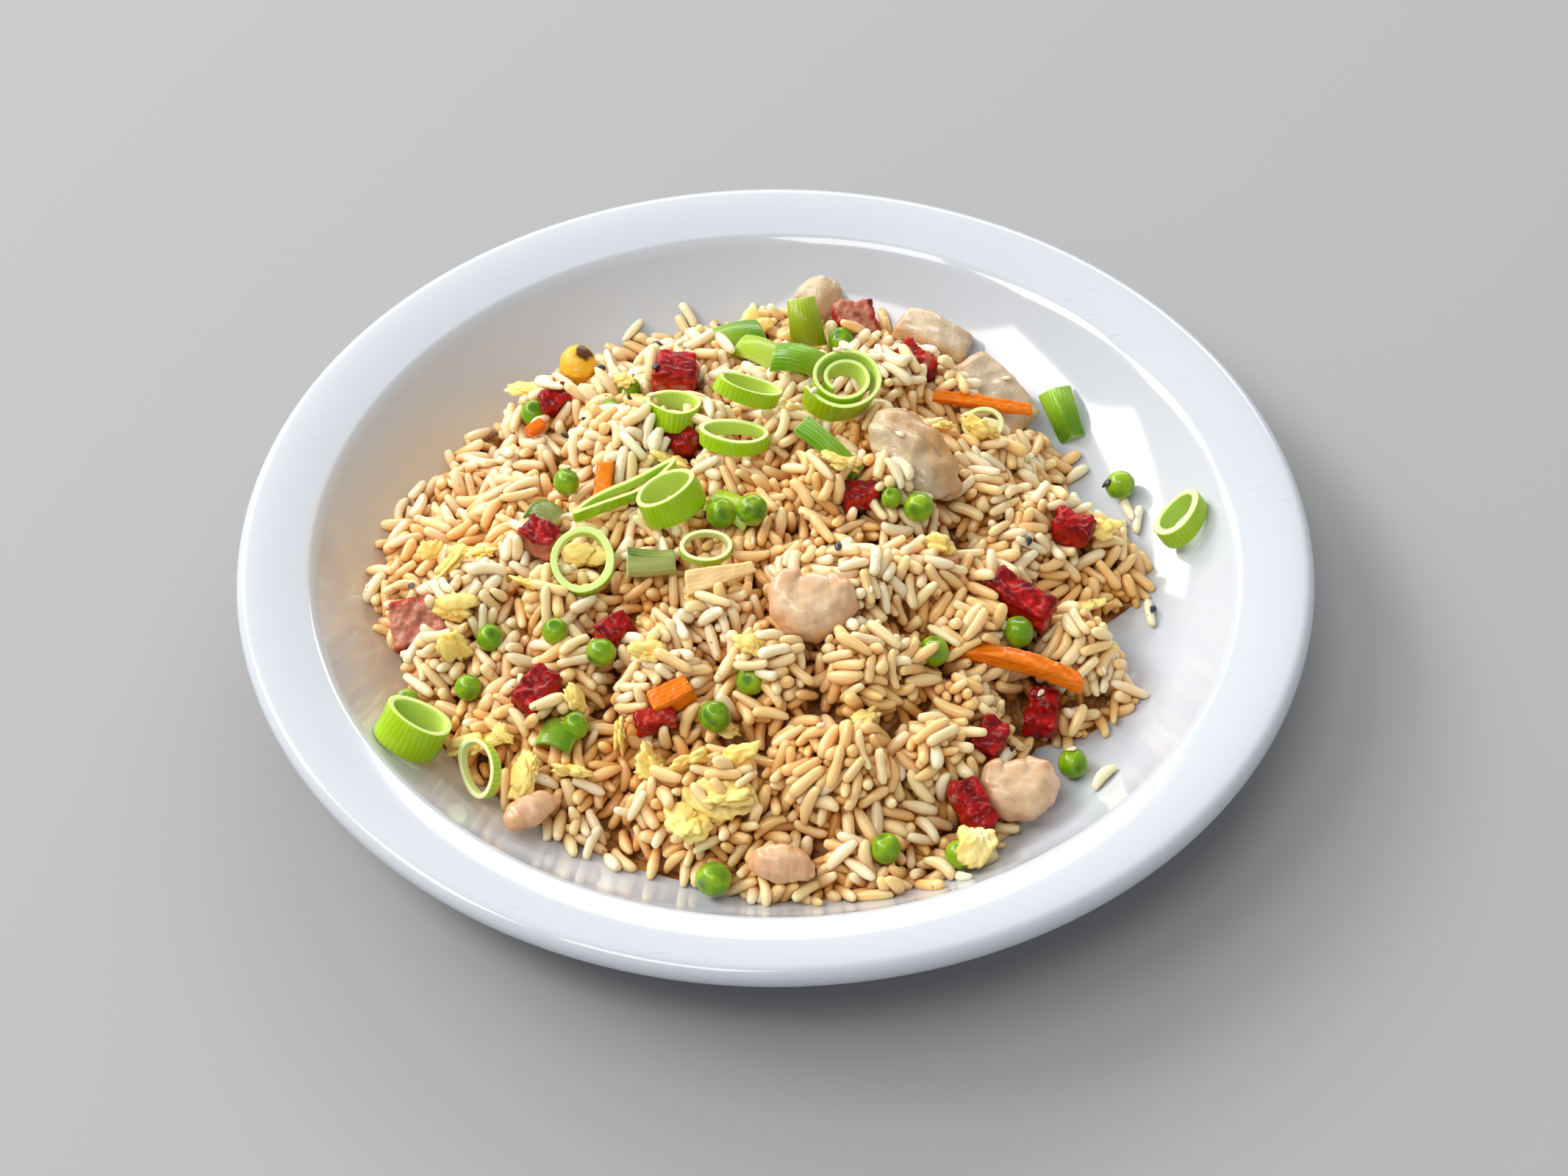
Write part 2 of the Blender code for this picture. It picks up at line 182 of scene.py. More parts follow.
def dressed(obj, detail, material, slot, *nodes, angle=180):
    """Paints a piece's detail, smooths it and finishes it."""
    paint(obj, *detail)
    smooth(obj, angle)
    return finished(obj, material, slot, *nodes)


def nodes_of(*starts):
    """The CAD nodes whose names begin with one of starts, in order, each with its number."""
    return enumerate(sorted(name for name in CAD if name.startswith(starts)))


# ---------------------------------------------------------------- shader helpers


class Value:
    """One shader socket, with the arithmetic that a material needs."""

    def __init__(self, shader, socket):
        self.shader = shader
        self.socket = socket

    def math(self, operation, *values, clamp=False):
        return self.shader.node("ShaderNodeMath", {"operation": operation, "use_clamp": clamp}, values)

    def __add__(self, other):
        return self.math("ADD", self, other)

    def __sub__(self, other):
        return self.math("SUBTRACT", self, other)

    def __rsub__(self, other):
        return self.math("SUBTRACT", other, self)

    def __mul__(self, other):
        return self.math("MULTIPLY", self, other)

    __radd__ = __add__
    __rmul__ = __mul__

    def held(self):
        """The value kept between 0 and 1."""
        return self.math("ADD", self, 0.0, clamp=True)

    def step(self, low, high):
        """An eased step from 0 at low to 1 at high."""
        settings = {"interpolation_type": "SMOOTHSTEP"}
        inputs = {"Value": self, "From Min": low, "From Max": high}
        return self.shader.node("ShaderNodeMapRange", settings, inputs)


class Shader:
    """A material under construction: its node tree and its Principled BSDF."""

    def __init__(self, name, **constants):
        self.material = bpy.data.materials.new(name)
        self.material.use_nodes = True
        self.tree = self.material.node_tree
        self.surface = self.tree.nodes["Principled BSDF"]
        for socket, value in constants.items():
            self.surface.inputs[socket.replace("_", " ")].default_value = value
        self.place = self.node("ShaderNodeTexCoord", {}, {}, "Object")

    def node(self, kind, settings, inputs, output=0):
        """Adds a node of this type, sets it, feeds its sockets and gives back one of its outputs."""
        made = self.tree.nodes.new(kind)
        for name, value in settings.items():
            setattr(made, name, value)
        pairs = inputs.items() if isinstance(inputs, dict) else enumerate(inputs)
        for socket, value in pairs:
            if isinstance(value, Value):
                self.tree.links.new(value.socket, made.inputs[socket])
            else:
                made.inputs[socket].default_value = value
        return Value(self, made.outputs[output])

    def noise(self, scale, detail=3.0, rough=0.55, stretch=None, warp=0.0):
        """Cloudy values from 0 to 1, with about scale swells in a metre."""
        where = self.place
        if stretch:
            where = self.node("ShaderNodeMapping", {}, {"Vector": where, "Scale": stretch})
        inputs = {"Vector": where, "Scale": scale, "Detail": detail, "Roughness": rough}
        return self.node("ShaderNodeTexNoise", {}, {**inputs, "Distortion": warp}, "Fac")

    def cells(self, scale):
        """How far each spot lies from the middle of its cell, with about scale cells in a metre."""
        return self.node("ShaderNodeTexVoronoi", {}, {"Vector": self.place, "Scale": scale}, "Distance")

    def painted(self):
        """The three values painted on the piece."""
        colour = self.node("ShaderNodeAttribute", {"attribute_name": "detail"}, {}, "Color")
        return [self.node("ShaderNodeSeparateColor", {}, {"Color": colour}, i) for i in range(3)]

    def mix(self, share, first, second):
        """One colour turning into another as share goes from 0 to 1."""
        colours = [c if isinstance(c, Value) else (*c, 1.0) for c in (first, second)]
        inputs = {0: share, 6: colours[0], 7: colours[1]}
        return self.node("ShaderNodeMix", {"data_type": "RGBA"}, inputs, 2)

    def feed(self, socket, value):
        self.tree.links.new(value.socket, self.surface.inputs[socket])

    def done(self, colour, roughness, height, distance, strength):
        """Feeds the surface its colour, its roughness and its bumps, and gives back the material."""
        self.feed("Base Color", colour)
        self.feed("Roughness", roughness)
        inputs = {"Height": height, "Distance": distance, "Strength": strength}
        self.feed("Normal", self.node("ShaderNodeBump", {}, inputs, "Normal"))
        return self.material


def moist(name, glow, spread, gloss, coat, coat_roughness):
    """Moist food: light spreads in it, this many millimetres for each colour, under a wet coat."""
    return Shader(
        name, Subsurface_Weight=glow, Subsurface_Radius=[c * MM for c in spread], Subsurface_Scale=1.0,
        Specular_IOR_Level=gloss, Coat_Weight=coat, Coat_Roughness=coat_roughness,
    )


# ---------------------------------------------------------------- reading the frame


def tree_of(meshes):
    """A search tree over the surfaces of several meshes."""
    places, faces = [], []
    for mesh in meshes:
        start = len(places)
        places += [v.co.copy() for v in mesh.vertices]
        faces += [[start + i for i in face.vertices] for face in mesh.polygons]
    return BVHTree.FromPolygons(places, faces)


class Heights:
    """Heights over the plate on a square grid, read smoothly between its points."""

    HALF = 0.126  # from the middle of the grid to its edge
    STEP = 0.0015

    def __init__(self, values):
        self.values = values

    @classmethod
    def places(cls):
        line = np.arange(-cls.HALF, cls.HALF + cls.STEP / 2, cls.STEP)
        return np.meshgrid(line, line, indexing="ij")

    @classmethod
    def on(cls, tree, bare):
        """The height of what a ray from above meets, or the value of bare where it meets nothing."""
        x, y = cls.places()
        values = bare.copy()
        down = Vector((0, 0, -1))
        for i, j in np.ndindex(x.shape):
            hit = tree.ray_cast(Vector((x[i, j], y[i, j], 0.2)), down)[0]
            if hit:
                values[i, j] = hit.z
        return cls(values)

    def blurred(self, width):
        """The same heights with swells narrower than width smoothed away."""
        reach = int(2.5 * width / self.STEP)
        share = np.exp(-0.5 * (np.arange(-reach, reach + 1) * self.STEP / width) ** 2)
        share /= share.sum()
        values = np.pad(self.values, reach, mode="edge")
        for axis in (0, 1):
            values = np.apply_along_axis(np.convolve, axis, values, share, mode="valid")
        return Heights(values)

    def at(self, x, y):
        last = len(self.values) - 1.001
        u = np.clip((np.asarray(x) + self.HALF) / self.STEP, 0, last)
        v = np.clip((np.asarray(y) + self.HALF) / self.STEP, 0, last)
        i, j = u.astype(int), v.astype(int)
        u, v = u - i, v - j
        low = self.values[i, j] * (1 - v) + self.values[i, j + 1] * v
        high = self.values[i + 1, j] * (1 - v) + self.values[i + 1, j + 1] * v
        return low * (1 - u) + high * u

    def normals(self, x, y):
        step = self.STEP
        slope_x = (self.at(x + step, y) - self.at(x - step, y)) / (2 * step)
        slope_y = (self.at(x, y + step) - self.at(x, y - step)) / (2 * step)
        normal = np.stack([-slope_x, -slope_y, np.ones_like(slope_x)], axis=-1)
        return normal / np.linalg.norm(normal, axis=-1, keepdims=True)


# The plate's section, as the frame has it.
PLATE_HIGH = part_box("plate")[1]
PLATE_R = PLATE_HIGH.x
RIM_TOP = PLATE_HIGH.z
FLAT_R = 0.088
FLOOR_Z = 0.0066
BROW_R = 0.121
BROW_Z = 0.028
WELL_CURVE = 1.9
WALL = 0.0044
LIP = 0.0033
FOOT_OUTER_R = 0.0865
FOOT_INNER_R = 0.078
FOOT_EDGE = 0.0005


def floor_height(r):
    """The height of the plate's eating surface at radius r."""
    share = np.clip((r - FLAT_R) / (BROW_R - FLAT_R), 0, 1)
    return FLOOR_Z + (BROW_Z - FLOOR_Z) * share**WELL_CURVE


GRID_X, GRID_Y = Heights.places()
BARE = Heights(floor_height(np.hypot(GRID_X, GRID_Y)))
HEAP_TREE = tree_of([CAD["rice_heap"].data])
HEAP = Heights.on(HEAP_TREE, BARE.values).blurred(0.002)


def heap_outline(count=180):
    """How far the heap reaches at each of count angles."""
    angles = np.linspace(-math.pi, math.pi, count + 1)
    reaches = []
    for angle in angles:
        r = 0.12
        while r > 0.06:
            start = Vector((r * math.cos(angle), r * math.sin(angle), 0.2))
            if HEAP_TREE.ray_cast(start, Vector((0, 0, -1)))[0]:
                break
            r -= 0.0005
        reaches.append(r)
    return angles, np.array(reaches)


OUTLINE_ANGLES, OUTLINE_REACHES = heap_outline()


def heap_reach(x, y):
    """How far the heap reaches on the way to x, y."""
    return np.interp(np.arctan2(y, x), OUTLINE_ANGLES, OUTLINE_REACHES)


def clumped(heights, spacing, rise, seed):
    """The heap's top with the rice gathered into round clumps, with clefts between them."""
    rng = np.random.default_rng(seed)
    line = np.arange(-0.12, 0.12, spacing)
    x, y = (a.ravel() + rng.uniform(-0.42, 0.42, a.size) * spacing for a in np.meshgrid(line, line))
    clump = np.full(GRID_X.shape, -rise)
    for cx, cy in zip(x, y):
        radius = spacing * rng.uniform(0.65, 1.05)
        top = rise * rng.uniform(-0.35, 1.0)
        away = ((GRID_X - cx) ** 2 + (GRID_Y - cy) ** 2) / radius**2
        clump = np.maximum(clump, top - (rise + top) * away)
    r = np.hypot(GRID_X, GRID_Y)
    inside = np.clip((heap_reach(GRID_X, GRID_Y) - r) / 0.012, 0, 1)
    return Heights(heights.values + (clump + 0.0022) * inside)


CLUMP_SPACING = 0.0175
CLUMP_RISE = 0.0085
TOP = clumped(HEAP, CLUMP_SPACING, CLUMP_RISE, 11).blurred(0.0012)


def copy_of(node):
    """A piece of its own with a CAD node's shape, its loose triangles joined and paired."""
    piece = bpy.data.objects.new(node + "_food", CAD[node].data.copy())
    bpy.context.scene.collection.objects.link(piece)
    edit(piece)
    bpy.ops.mesh.select_all(action="SELECT")
    bpy.ops.mesh.remove_doubles(threshold=0.00001)
    bpy.ops.mesh.tris_convert_to_quads(face_threshold=math.radians(40), shape_threshold=math.radians(60))
    close_edit()
    return piece


def remeshed(piece, cell, rounds):
    """Turns a piece into an even mesh of small faces, and softens its edges."""
    apply(piece, "REMESH", mode="VOXEL", voxel_size=cell)
    apply(piece, "SMOOTH", factor=0.5, iterations=rounds)
    return piece


class Local:
    """A piece's own axes, longest first, with each of its points measured along them."""

    def __init__(self, piece):
        places = points_of(piece)
        self.middle = (places.min(0) + places.max(0)) / 2
        spread = places - places.mean(0)
        axes = np.linalg.svd(spread, full_matrices=False)[2]
        axes[2] *= 1 if axes[2] @ UP > 0 else -1
        axes[0] *= 1 if (np.cross(axes[1], axes[2]) @ axes[0]) > 0 else -1
        self.axes = axes
        self.along = (places - places.mean(0)) @ axes.T
        self.half = np.abs(self.along).max(0)
        self.share = self.along / self.half


# ---------------------------------------------------------------- stage, light and camera


def make_floor():
    """The plain pale table top, a little below the plate's foot."""
    bpy.ops.mesh.primitive_plane_add(size=6, location=(0, 0, -0.0002))
    floor = added("floor")
    shader = Shader("pale_floor", Base_Color=(0.34, 0.34, 0.345, 1), Roughness=0.7)
    floor.data.materials.append(shader.material)


# Window panes round the table: direction from the plate, width, height and power.
PANES = (
    ((-0.22, -0.38, 0.90), 1.50, 1.05, 33.0),
    ((-0.62, -0.10, 0.76), 1.50, 1.10, 38.0),
    ((-0.74, 0.30, 0.60), 1.50, 1.10, 60.0),
    ((-0.62, 0.68, 0.42), 1.40, 1.05, 46.0),
    ((0.05, 0.90, 0.44), 3.00, 0.95, 58.0),
)
PANE_AWAY = 3.6
PANE_AIM = Vector((0, 0, 0.02))
SKY_STRENGTH = 0.46


def make_pane(name, way, width, height, power):
    """One window pane: a wide soft light that faces the plate."""
    light = bpy.data.lights.new(name, "AREA")
    light.shape = "RECTANGLE"
    light.size, light.size_y = width, height
    light.energy = power
    light.color = (1.0, 0.985, 0.96)
    lamp = bpy.data.objects.new(name, light)
    lamp.location = PANE_AIM + PANE_AWAY * Vector(way).normalized()
    lamp.rotation_euler = (PANE_AIM - lamp.location).to_track_quat("-Z", "Y").to_euler()
    bpy.context.scene.collection.objects.link(lamp)


def make_lights():
    """A pale sky all round, and daylight from the panes."""
    world = bpy.data.worlds.new("studio")
    world.use_nodes = True
    sky = world.node_tree.nodes["Background"]
    sky.inputs["Color"].default_value = (0.95, 0.97, 1.0, 1)
    sky.inputs["Strength"].default_value = SKY_STRENGTH
    bpy.context.scene.world = world
    bpy.context.scene.view_settings.view_transform = "Standard"
    for number, pane in enumerate(PANES, 1):
        make_pane(f"window_pane_{number}", *pane)


CAMERA_LENS = 80  # millimetres
CAMERA_ANGLE = 47.55  # degrees above the table
CAMERA_AWAY = 0.9095
CAMERA_AIM = Vector((0.00218, -0.00757, 0.020))


def make_camera():
    """A camera in front of the plate that looks down on it."""
    camera = bpy.data.cameras.new("camera")
    camera.lens = CAMERA_LENS
    camera.sensor_width = 36
    camera.clip_start = 0.01
    eye = bpy.data.objects.new("camera", camera)
    angle = math.radians(CAMERA_ANGLE)
    eye.location = CAMERA_AIM + CAMERA_AWAY * Vector((0, -math.cos(angle), math.sin(angle)))
    eye.rotation_euler = (math.pi / 2 - angle, 0, 0)
    bpy.context.scene.collection.objects.link(eye)
    bpy.context.scene.camera = eye


# ---------------------------------------------------------------- the plate


def plate_section():
    """Radius and height of the plate's section, from the edge of the flat round to the underside."""
    section = []
    for share in np.linspace(0, 1, 17):
        r = FLAT_R + (BROW_R - FLAT_R) * share
        section.append((r, float(floor_height(r))))
    lip_r, lip_z = PLATE_R - LIP, RIM_TOP - LIP
    for share in (0.06, 0.15, 0.3, 0.5, 0.7, 0.85):
        rise = math.sin(share * math.pi / 2)
        section.append((BROW_R + (lip_r - BROW_R) * share, BROW_Z + (RIM_TOP - BROW_Z) * rise))
    for degrees in range(90, -80, -15):
        a = math.radians(degrees)
        section.append((lip_r + LIP * math.cos(a), lip_z + LIP * math.sin(a)))
    for share in np.linspace(0.92, 0, 12):
        slope = (BROW_Z - FLOOR_Z) / (BROW_R - FLAT_R) * WELL_CURVE * share ** (WELL_CURVE - 1)
        steep = math.hypot(1, slope)
        r = FLAT_R + (BROW_R - FLAT_R) * share
        section.append((r + WALL * slope / steep, float(floor_height(r)) - WALL / steep))
    foot = [
        (FOOT_OUTER_R, FOOT_EDGE), (FOOT_OUTER_R - FOOT_EDGE, 0), (FOOT_INNER_R + FOOT_EDGE, 0),
        (FOOT_INNER_R, FOOT_EDGE), (FOOT_INNER_R - 0.0015, FLOOR_Z - WALL),
    ]
    return section + foot


RICE_GLOW_WIDTH = 0.017  # how far up the wall the painted warm light bounced from the rice reaches


def glaze():
    """White glaze, with painted warm light, bounced from the rice, where the rice leans on the left wall
    of the well.
    """
    shader = Shader("white_glaze", Roughness=0.10, Coat_Weight=0.25, Coat_Roughness=0.06)
    cloud = shader.noise(9)
    colour = shader.mix(cloud, (0.53, 0.565, 0.615), (0.57, 0.60, 0.645))
    rice_glow, rim, _ = shader.painted()
    # painted bounce light: the warm glow that the rice throws on the wall of the well
    colour = shader.mix(rice_glow * 0.8, colour, (0.60, 0.46, 0.29))
    scratch = shader.noise(60, detail=2, stretch=(1, 14, 6), warp=0.6).step(0.66, 0.70)
    scratch = scratch * shader.noise(40).step(0.52, 0.62) * rim
    colour = shader.mix(scratch * 0.3, colour, (0.25, 0.26, 0.28))
    return shader.done(colour, scratch * 0.4 + 0.10, shader.noise(22, detail=1), 0.00015, 0.6)


def make_plate():
    """The plate, drawn out ring by ring from the flat of its well."""
    section = plate_section()
    r, z = section[0]
    bpy.ops.mesh.primitive_circle_add(vertices=144, radius=r, fill_type="TRIFAN", location=(0, 0, z))
    plate = added("glazed_plate")
    bpy.ops.object.transform_apply(location=True)
    edit(plate)
    pick(plate, lambda co: math.hypot(co.x, co.y) > 0.9 * section[0][0])
    for next_r, next_z in section[1:]:
        bpy.ops.mesh.extrude_edges_move(TRANSFORM_OT_translate={"value": (0, 0, next_z - z)})
        bpy.ops.transform.resize(value=(next_r / r, next_r / r, 1), center_override=(0, 0, next_z))
        r, z = next_r, next_z
    bpy.ops.mesh.edge_face_add()
    close_edit()
    x, y, _ = points_of(in_order(plate)).T
    r = np.maximum(np.hypot(x, y), MM)
    # painted bounce light from the rice, only near the heap and on the left of the well
    rice_glow = np.clip(1.15 - (r - heap_reach(x, y)) / RICE_GLOW_WIDTH, 0, 1) * (r < BROW_R + 0.001)
    rice_glow *= np.clip((r - 0.080) / 0.01, 0, 1) * np.clip(-3 * x / r - 1.6, 0, 1)
    return dressed(plate, (rice_glow, r > BROW_R), glaze(), "plate", "plate", angle=50)


# ---------------------------------------------------------------- the rice

GRAIN_LENGTH = 0.0096
GRAIN_RADIUS = 0.00156
# How much wider than a ball a grain is between two places along it: one blunt and one finer end.
GRAIN_RINGS = (
    (-0.95, -0.8, 1.62), (-0.8, -0.5, 1.19), (-0.5, 0.5, 1.02), (0.5, 0.8, 1.14), (0.8, 0.95, 1.40),
)
LENGTH_SPREAD, RADIUS_SPREAD = 0.0010, 0.00013
BROKEN_SHARE = 0.12  # grains that are only half as long
TOSSED_SHARE = 0.6  # grains that point any way, while the others lie along the heap's top
TILT = 0.55
OVER_PROUD, OVER_SUNK = 0.10, 0.75  # chance of a grain on top of food that shows, or is half hidden
SHELL = 0.0105  # depth of loose grains over the core
GRID_OF_GRAINS = 0.0042  # spacing of the grains before they settle
BALLS = np.array([-1.0, -1 / 3, 1 / 3, 1.0])  # a grain as four balls along its axis
SETTLING_ROUNDS = 110
SEARCH_EVERY = 10  # rounds between two searches for grains that touch
TOUCHING = 0.87  # how near two grains may lie, as a share of their radii: they press on each other
STIFFNESS = 0.6  # the share of an overlap that one round takes away
LONGEST_PUSH = 0.0008
SINKING, LATE_SINKING = 0.00007, 0.00001  # how far the grains sink in a round
FOOD_SKIN = 0.0008  # radius of the balls that stand for the food's surface
FOOD_SPACING = 0.0014
FOOD_DEPTH = 0.0007
PALE_SHARE, GOLDEN_SHARE = 0.36, 0.72  # the least browned grains are pale, the next ones golden
# Each kind of grain from its paler to its browner colour, and the sauce brown that browns some tips and,
# as painted shade, darkens the grains that lie deeper in the heap.
PALE_RICE = ((0.93, 0.81, 0.58), (0.93, 0.74, 0.44))
GOLDEN_RICE = ((0.93, 0.75, 0.46), (0.90, 0.65, 0.32))
BROWNED_RICE = ((0.91, 0.68, 0.37), (0.87, 0.54, 0.22))
SAUCE_AND_SHADE = (0.77, 0.35, 0.07)
# Food that the rice half hides.
SUNK_FOOD = (
    "pork", "prawn_3", "prawn_4", "prawn_bit", "carrot_4", "carrot_scrap", "pea_01", "pea_08", "pea_10",
    "pea_12", "half_sunk", "egg_curd", "bamboo",
)
# Grains that lie apart on the plate: x, y and turn in millimetres and degrees.
STRAY_GRAINS = (
    (-25, 103, 120), (98, 25, 75), (-41, 97, 60), (48, 92, 75),
    (96, 29, 110), (93, 22, 65), (83, -68, 50), (99, -8, 95),
)
STRAY_TONE = 0.3


def close_pairs(places, reach):
    """All pairs of points that lie nearer to each other than reach."""
    cells = np.floor((places - places.min(0)) / reach).astype(np.int64) + 1
    span = cells.max(0) + 2
    keys = (cells[:, 0] * span[1] + cells[:, 1]) * span[2] + cells[:, 2]
    order = np.argsort(keys, kind="stable")
    ranked = keys[order]
    pairs = []
    steps = [(i, j, k) for i in (-1, 0, 1) for j in (-1, 0, 1) for k in (-1, 0, 1)]
    for step in steps[13:]:
        shift = (step[0] * span[1] + step[1]) * span[2] + step[2]
        begin = np.searchsorted(ranked, keys + shift, "left")
        count = np.searchsorted(ranked, keys + shift, "right") - begin
        first = np.repeat(np.arange(len(keys)), count)
        rank = np.arange(count.sum()) - np.repeat(np.cumsum(count) - count, count)
        second = order[rank + np.repeat(begin, count)]
        if step == (0, 0, 0):
            first, second = first[first < second], second[first < second]
        near = ((places[first] - places[second]) ** 2).sum(1) < reach**2
        pairs.append(np.stack([first[near], second[near]]))
    return np.concatenate(pairs, axis=1)


class Grains:
    """Loose grains: where each lies, which way it points, and its size."""

    def __init__(self, centres, axes, lengths, radii):
        self.centres = centres
        self.axes = axes
        self.lengths = lengths
        self.radii = radii

    def kept(self, which):
        return Grains(self.centres[which], self.axes[which], self.lengths[which], self.radii[which])

    def with_more(self, other):
        pairs = zip(vars(self).values(), vars(other).values())
        return Grains(*(np.concatenate(pair) for pair in pairs))

    def balls(self):
        reach = (self.lengths / 2 - self.radii)[:, None] * BALLS
        return self.centres[:, None] + reach[:, :, None] * self.axes[:, None]

    def settle(self, ground, obstacles):
        """Lets the grains sink towards the core and push each other and the food aside."""
        fixed = len(obstacles)
        count = len(self.centres) * len(BALLS)
        sizes = np.concatenate([np.repeat(self.radii, len(BALLS)), np.full(fixed, FOOD_SKIN)])
        free = np.concatenate([np.ones(count), np.zeros(fixed)])
        for turn in range(SETTLING_ROUNDS):
            if turn % SEARCH_EVERY == 0:
                places = np.concatenate([self.balls().reshape(-1, 3), obstacles])
                pairs = close_pairs(places, 2 * GRAIN_RADIUS + 0.0012)
                owners = pairs // len(BALLS)
                other = (owners[0] != owners[1]) | (pairs[1] >= count)
                other &= (pairs[0] < count) | (pairs[1] < count)
                first, second = pairs[:, other]
                touching = (sizes[first] + sizes[second]) * TOUCHING
                share = free[first] / (free[first] + free[second])
                sinking = TOP.normals(self.centres[:, 0], self.centres[:, 1])
            places = np.concatenate([self.balls().reshape(-1, 3), obstacles])
            gap = places[first] - places[second]
            apart = np.linalg.norm(gap, axis=1) + 1e-9
            deep = np.maximum(touching - apart, 0)
            push = gap * (STIFFNESS * deep / apart)[:, None]
            moves = np.zeros((len(places), 3))
            for axis in range(3):
                moves[:, axis] += np.bincount(first, push[:, axis] * share, len(places))
                moves[:, axis] -= np.bincount(second, push[:, axis] * (1 - share), len(places))
            moves = moves[:count]
            places = places[:count]
            low = ground.at(places[:, 0], places[:, 1]) + sizes[:count] - places[:, 2]
            moves[:, 2] += np.maximum(low, 0)
            moves = np.clip(moves, -LONGEST_PUSH, LONGEST_PUSH)
            reach = heap_reach(places[:, 0], places[:, 1]) + 0.003
            out = np.hypot(places[:, 0], places[:, 1]) - reach
            spill = (out > 0) & (out < 0.006)
            moves[spill, :2] *= 0.4
            self.follow((places + moves).reshape(-1, len(BALLS), 3))
            self.centres -= sinking * (SINKING if turn < 0.7 * SETTLING_ROUNDS else LATE_SINKING)

    def follow(self, balls):
        """Puts each grain, still straight, where its balls have gone."""
        self.centres = balls.mean(1)
        axes = (balls * BALLS[None, :, None]).sum(1)
        self.axes = axes / np.linalg.norm(axes, axis=1, keepdims=True)


def tangents(normals, rng, spread):
    """Directions that lie along a surface, each tilted out of it by a random angle."""
    side = np.cross(normals, [0.0, 1.0, 0.0])
    side /= np.linalg.norm(side, axis=1, keepdims=True)
    up = np.cross(normals, side)
    turn = rng.uniform(0, math.tau, len(normals))
    flat = side * np.cos(turn)[:, None] + up * np.sin(turn)[:, None]
    tilt = rng.normal(0, 1, len(normals)) * spread
    return flat * np.cos(tilt)[:, None] + normals * np.sin(tilt)[:, None]


def sown_grains(rng, top, core, covers, solids):
    """Grains on an uneven grid through the shell between the core and the heap's top."""
    line = np.arange(-0.118, 0.118, GRID_OF_GRAINS)
    depths = np.arange(0.5, SHELL / GRID_OF_GRAINS + 0.4) * GRID_OF_GRAINS
    x, y, depth = (a.ravel() for a in np.meshgrid(line, line, depths, indexing="ij"))
    x, y = (a + rng.uniform(-0.5, 0.5, len(a)) * GRID_OF_GRAINS for a in (x, y))
    depth = depth + rng.uniform(-0.5, 0.5, len(depth)) * GRID_OF_GRAINS
    z = top.at(x, y) - depth
    room = z > np.maximum(core.at(x, y), BARE.at(x, y)) + 0.0006
    room &= np.hypot(x, y) < heap_reach(x, y) + rng.normal(0, 0.0012, len(x))
    centres = np.stack([x, y, z], axis=1)[room]
    centres = clear_of_food(centres, rng, covers, solids)
    count = len(centres)
    axes = tangents(TOP.normals(centres[:, 0], centres[:, 1]), rng, TILT)
    tossed = rng.random(count) < TOSSED_SHARE
    axes[tossed] = rng.normal(size=(tossed.sum(), 3))
    axes /= np.linalg.norm(axes, axis=1, keepdims=True)
    lengths = np.clip(rng.normal(GRAIN_LENGTH, LENGTH_SPREAD, count), 0.006, 0.0112)
    broken = rng.random(count) < BROKEN_SHARE
    lengths[broken] = rng.uniform(0.0042, 0.006, broken.sum())
    radii = np.clip(rng.normal(GRAIN_RADIUS, RADIUS_SPREAD, count), 0.0013, 0.0020)
    return Grains(centres, axes, lengths, radii)


def clear_of_food(centres, rng, covers, solids):
    """Leaves out most places that lie on top of a piece of food, and all that lie inside one."""
    kept = []
    down = Vector((0, 0, -1))
    for place in centres:
        spot = Vector(place)
        near, normal, _, away = solids.find_nearest(spot)
        inside = (spot - near).dot(normal) < 0
        chance = [share for tree, share in covers if tree.ray_cast(spot, down, 0.03)[0]]
        kept.append(not inside and away > 0.0007 and rng.random() < min(chance, default=1))
    return centres[np.array(kept)]


def surface_balls(meshes, rng):
    """Points just under the surfaces of the pieces of food, which the grains can't pass."""
    points = []
    for mesh in meshes:
        mesh.calc_loop_triangles()
        places = np.array([v.co[:] for v in mesh.vertices])
        corners = places[np.array([t.vertices[:] for t in mesh.loop_triangles])]
        crossed = np.cross(corners[:, 1] - corners[:, 0], corners[:, 2] - corners[:, 0])
        area = np.linalg.norm(crossed, axis=1) / 2
        count = int(area.sum() / FOOD_SPACING**2) + 1
        chosen = rng.choice(len(area), count, p=area / area.sum())
        u, v = rng.random((2, count))
        u, v = np.where(u + v > 1, 1 - u, u), np.where(u + v > 1, 1 - v, v)
        a, b, c = corners[chosen].transpose(1, 0, 2)
        outward = crossed[chosen] / (2 * area[chosen])[:, None]
        points.append(a + (b - a) * u[:, None] + (c - a) * v[:, None] - outward * FOOD_DEPTH)
    return np.concatenate(points)


def turned_form(name, segments, rings, widths):
    """A ball along X, one unit long each way, made wider or narrower between places along it."""
    turn = (0, math.pi / 2, 0)
    bpy.ops.mesh.primitive_uv_sphere_add(segments=segments, ring_count=rings, radius=1, rotation=turn)
    form = added(name)
    bpy.ops.object.transform_apply(rotation=True)
    edit(form)
    for low, high, wide in widths:
        pick(form, lambda co: low < co.x < high)
        bpy.ops.transform.resize(value=(1, wide, wide), center_override=(0, 0, 0))
    close_edit()
    return in_order(form)


